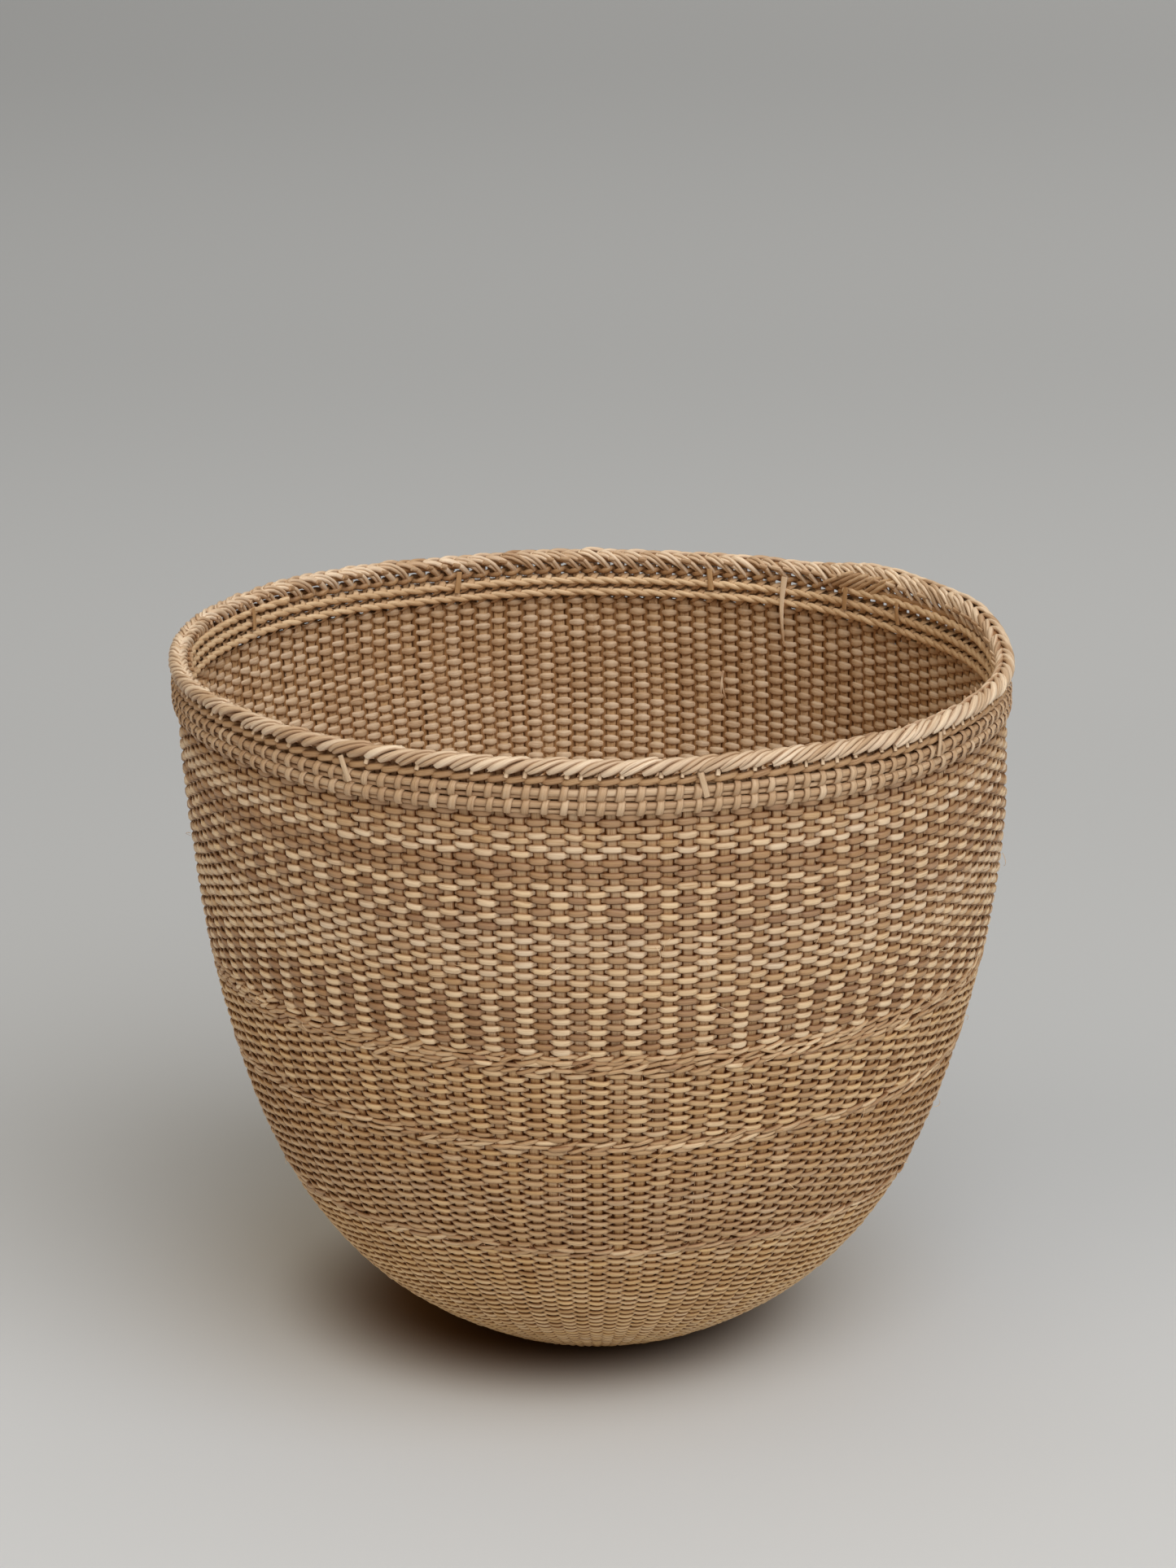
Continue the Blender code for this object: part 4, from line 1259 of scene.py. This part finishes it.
# Floor, light and camera
studio = {
    "floorRings": (0.3, 1.0, 3.0, 9.0),
    "floorSides": 96,
    "worldLight": 0.17,
    "worldColour": (1.0, 0.83, 0.60, 1.0),
    "backdrop": (0.337, 0.332, 0.314, 1.0),
    # Floor tones by how far behind the basket's middle they lie, and how much lighter the right is per metre:
    # painted light
    # The tones fall off towards the back as painted light, dropping quickest just behind the basket as
    # painted shadow
    "floorShading": ((-0.5, 0.66), (-0.1, 0.62), (0.3, 0.50), (1.1, 0.46), (2.7, 0.390), (5.4, 0.340)),
    "floorTint": (1.01, 1.06, 1.115),
    "floorFinish": {"Roughness": 0.9, "Specular IOR Level": 0.1},
    "lighterRight": 0.075,
    # The floor's painted shadow under the basket, warm and wide as of light bounced off the cane, dark in its
    # core: middle, the distances between which they fade, and tint
    "floorPaintedShadow": {
        "warm": ((-0.03, 0.03, 0.0), 0.08, 0.25, (1.0, 0.96, 0.90)),
        "dark": ((-0.027, 0.02, 0.0), 0.06, 0.145, (0.22, 0.11, 0.04)),
    },
    # Lamps: where the light comes from, its strength, colour and spread in degrees
    "lamps": {
        "window": ((0.34, -0.54, 0.77), 1.62, (0.975, 0.985, 1.01), 55.0),
        "ceiling": ((0.0, -0.1, 1.0), 1.1, (1.0, 0.95, 0.86), 100.0),
        "front": ((0.1, -1.0, 0.3), 0.2, (1.0, 0.97, 0.93), 60.0),
        "left": ((-0.85, -0.45, 0.35), 0.28, (1.0, 0.70, 0.38), 90.0),
    },
}


def floorMesh(rings, sides):
    mesh = bpy.data.meshes.new("floor")
    turns = math.tau * np.arange(sides) / sides
    vertices = [(0.0, 0.0, 0.0)]
    for radius in rings:
        vertices += [(radius * math.cos(turn), radius * math.sin(turn), 0.0) for turn in turns]
    faces = [(0, 1 + side, 1 + (side + 1) % sides) for side in range(sides)]
    for ring in range(len(rings) - 1):
        inner, outer = 1 + ring * sides, 1 + (ring + 1) * sides
        for side in range(sides):
            after = (side + 1) % sides
            faces.append((inner + side, outer + side, outer + after, inner + after))
    mesh.from_pydata(vertices, [], faces)
    return mesh


def layFloor(settings):
    mesh = floorMesh(settings["floorRings"], settings["floorSides"])
    floor = bpy.data.objects.new("floor", mesh)
    bpy.context.scene.collection.objects.link(floor)
    material, tree, shader = newMaterial("paperFloor")
    place = addNode(tree, "ShaderNodeTexCoord").outputs["Object"]
    x, y, _ = addNode(tree, "ShaderNodeSeparateXYZ", {0: place}).outputs
    # Painted light and shade: the floor darkens towards the back, most quickly just behind the basket
    nearest, farthest = settings["floorShading"][0][0], settings["floorShading"][-1][0]
    share = addNode(tree, "ShaderNodeMapRange", {"Value": y, "From Min": nearest, "From Max": farthest})
    ramp = addNode(tree, "ShaderNodeValToRGB", {"Fac": share.outputs["Result"]})
    ramp.color_ramp.interpolation = "EASE"
    while len(ramp.color_ramp.elements) < len(settings["floorShading"]):
        ramp.color_ramp.elements.new(1.0)
    for element, (behind, tone) in zip(ramp.color_ramp.elements, settings["floorShading"]):
        element.position = (behind - nearest) / (farthest - nearest)
        element.color = (*(tone * tint for tint in settings["floorTint"]), 1.0)
    # Painted light: the floor lighter towards the right
    lighter = addMath(tree, "MULTIPLY_ADD", x, settings["lighterRight"], 1.0)
    colour = {0: ramp.outputs["Color"], "Scale": lighter}
    colour = addNode(tree, "ShaderNodeVectorMath", colour, operation="SCALE").outputs["Vector"]
    # Painted shadow under the basket, warm and wide with a dark core
    for middle, near, far, tint in settings["floorPaintedShadow"].values():
        away = addNode(tree, "ShaderNodeVectorMath", {0: place, 1: middle}, operation="DISTANCE")
        fade = enumerate((away.outputs["Value"], near, far, 1.0, 0.0))
        fade = addNode(tree, "ShaderNodeMapRange", fade, interpolation_type="SMOOTHSTEP")
        shadowMix = {0: fade.outputs["Result"], 6: colour, 7: (*tint, 1.0)}
        colour = addNode(tree, "ShaderNodeMix", shadowMix, data_type="RGBA", blend_type="MULTIPLY").outputs[2]
    feed(tree, shader, {"Base Color": colour, **settings["floorFinish"]})
    mesh.materials.append(material)


def lightStudio(settings):
    scene = bpy.context.scene
    world = bpy.data.worlds.new("studio")
    world.use_nodes = True
    scene.world = world
    tree = world.node_tree
    light = tree.nodes["Background"]
    feed(tree, light, {"Color": settings["worldColour"], "Strength": settings["worldLight"]})
    seen = addNode(tree, "ShaderNodeBackground", {"Color": settings["backdrop"]})
    rays = addNode(tree, "ShaderNodeLightPath")
    mix = {0: rays.outputs["Is Camera Ray"], 1: light.outputs[0], 2: seen.outputs[0]}
    feed(tree, tree.nodes["World Output"], {"Surface": addNode(tree, "ShaderNodeMixShader", mix).outputs[0]})
    for name, ((east, north, up), strength, colour, spread) in settings["lamps"].items():
        light = bpy.data.lights.new(name, "SUN")
        light.energy = strength
        light.angle = math.radians(spread)
        light.color = colour
        lamp = bpy.data.objects.new(name, light)
        tilt, turn = math.atan2(math.hypot(east, north), up), math.atan2(north, east) + math.pi / 2.0
        lamp.rotation_euler = (tilt, 0.0, turn)
        scene.collection.objects.link(lamp)
    scene.view_settings.view_transform = "Standard"


camera = {"place": (-0.0043, -1.9345, 0.8445), "pitch": 16.49, "lens": 96.1, "sensor": 36.0}


def placeCamera(settings):
    data = bpy.data.cameras.new("camera")
    data.lens = settings["lens"]
    data.sensor_width = settings["sensor"]
    item = bpy.data.objects.new("camera", data)
    item.location = settings["place"]
    item.rotation_euler = (math.radians(90.0 - settings["pitch"]), 0.0, 0.0)
    bpy.context.scene.collection.objects.link(item)
    bpy.context.scene.camera = item


layFloor(studio)
lightStudio(studio)
placeCamera(camera)
print("studio ready")
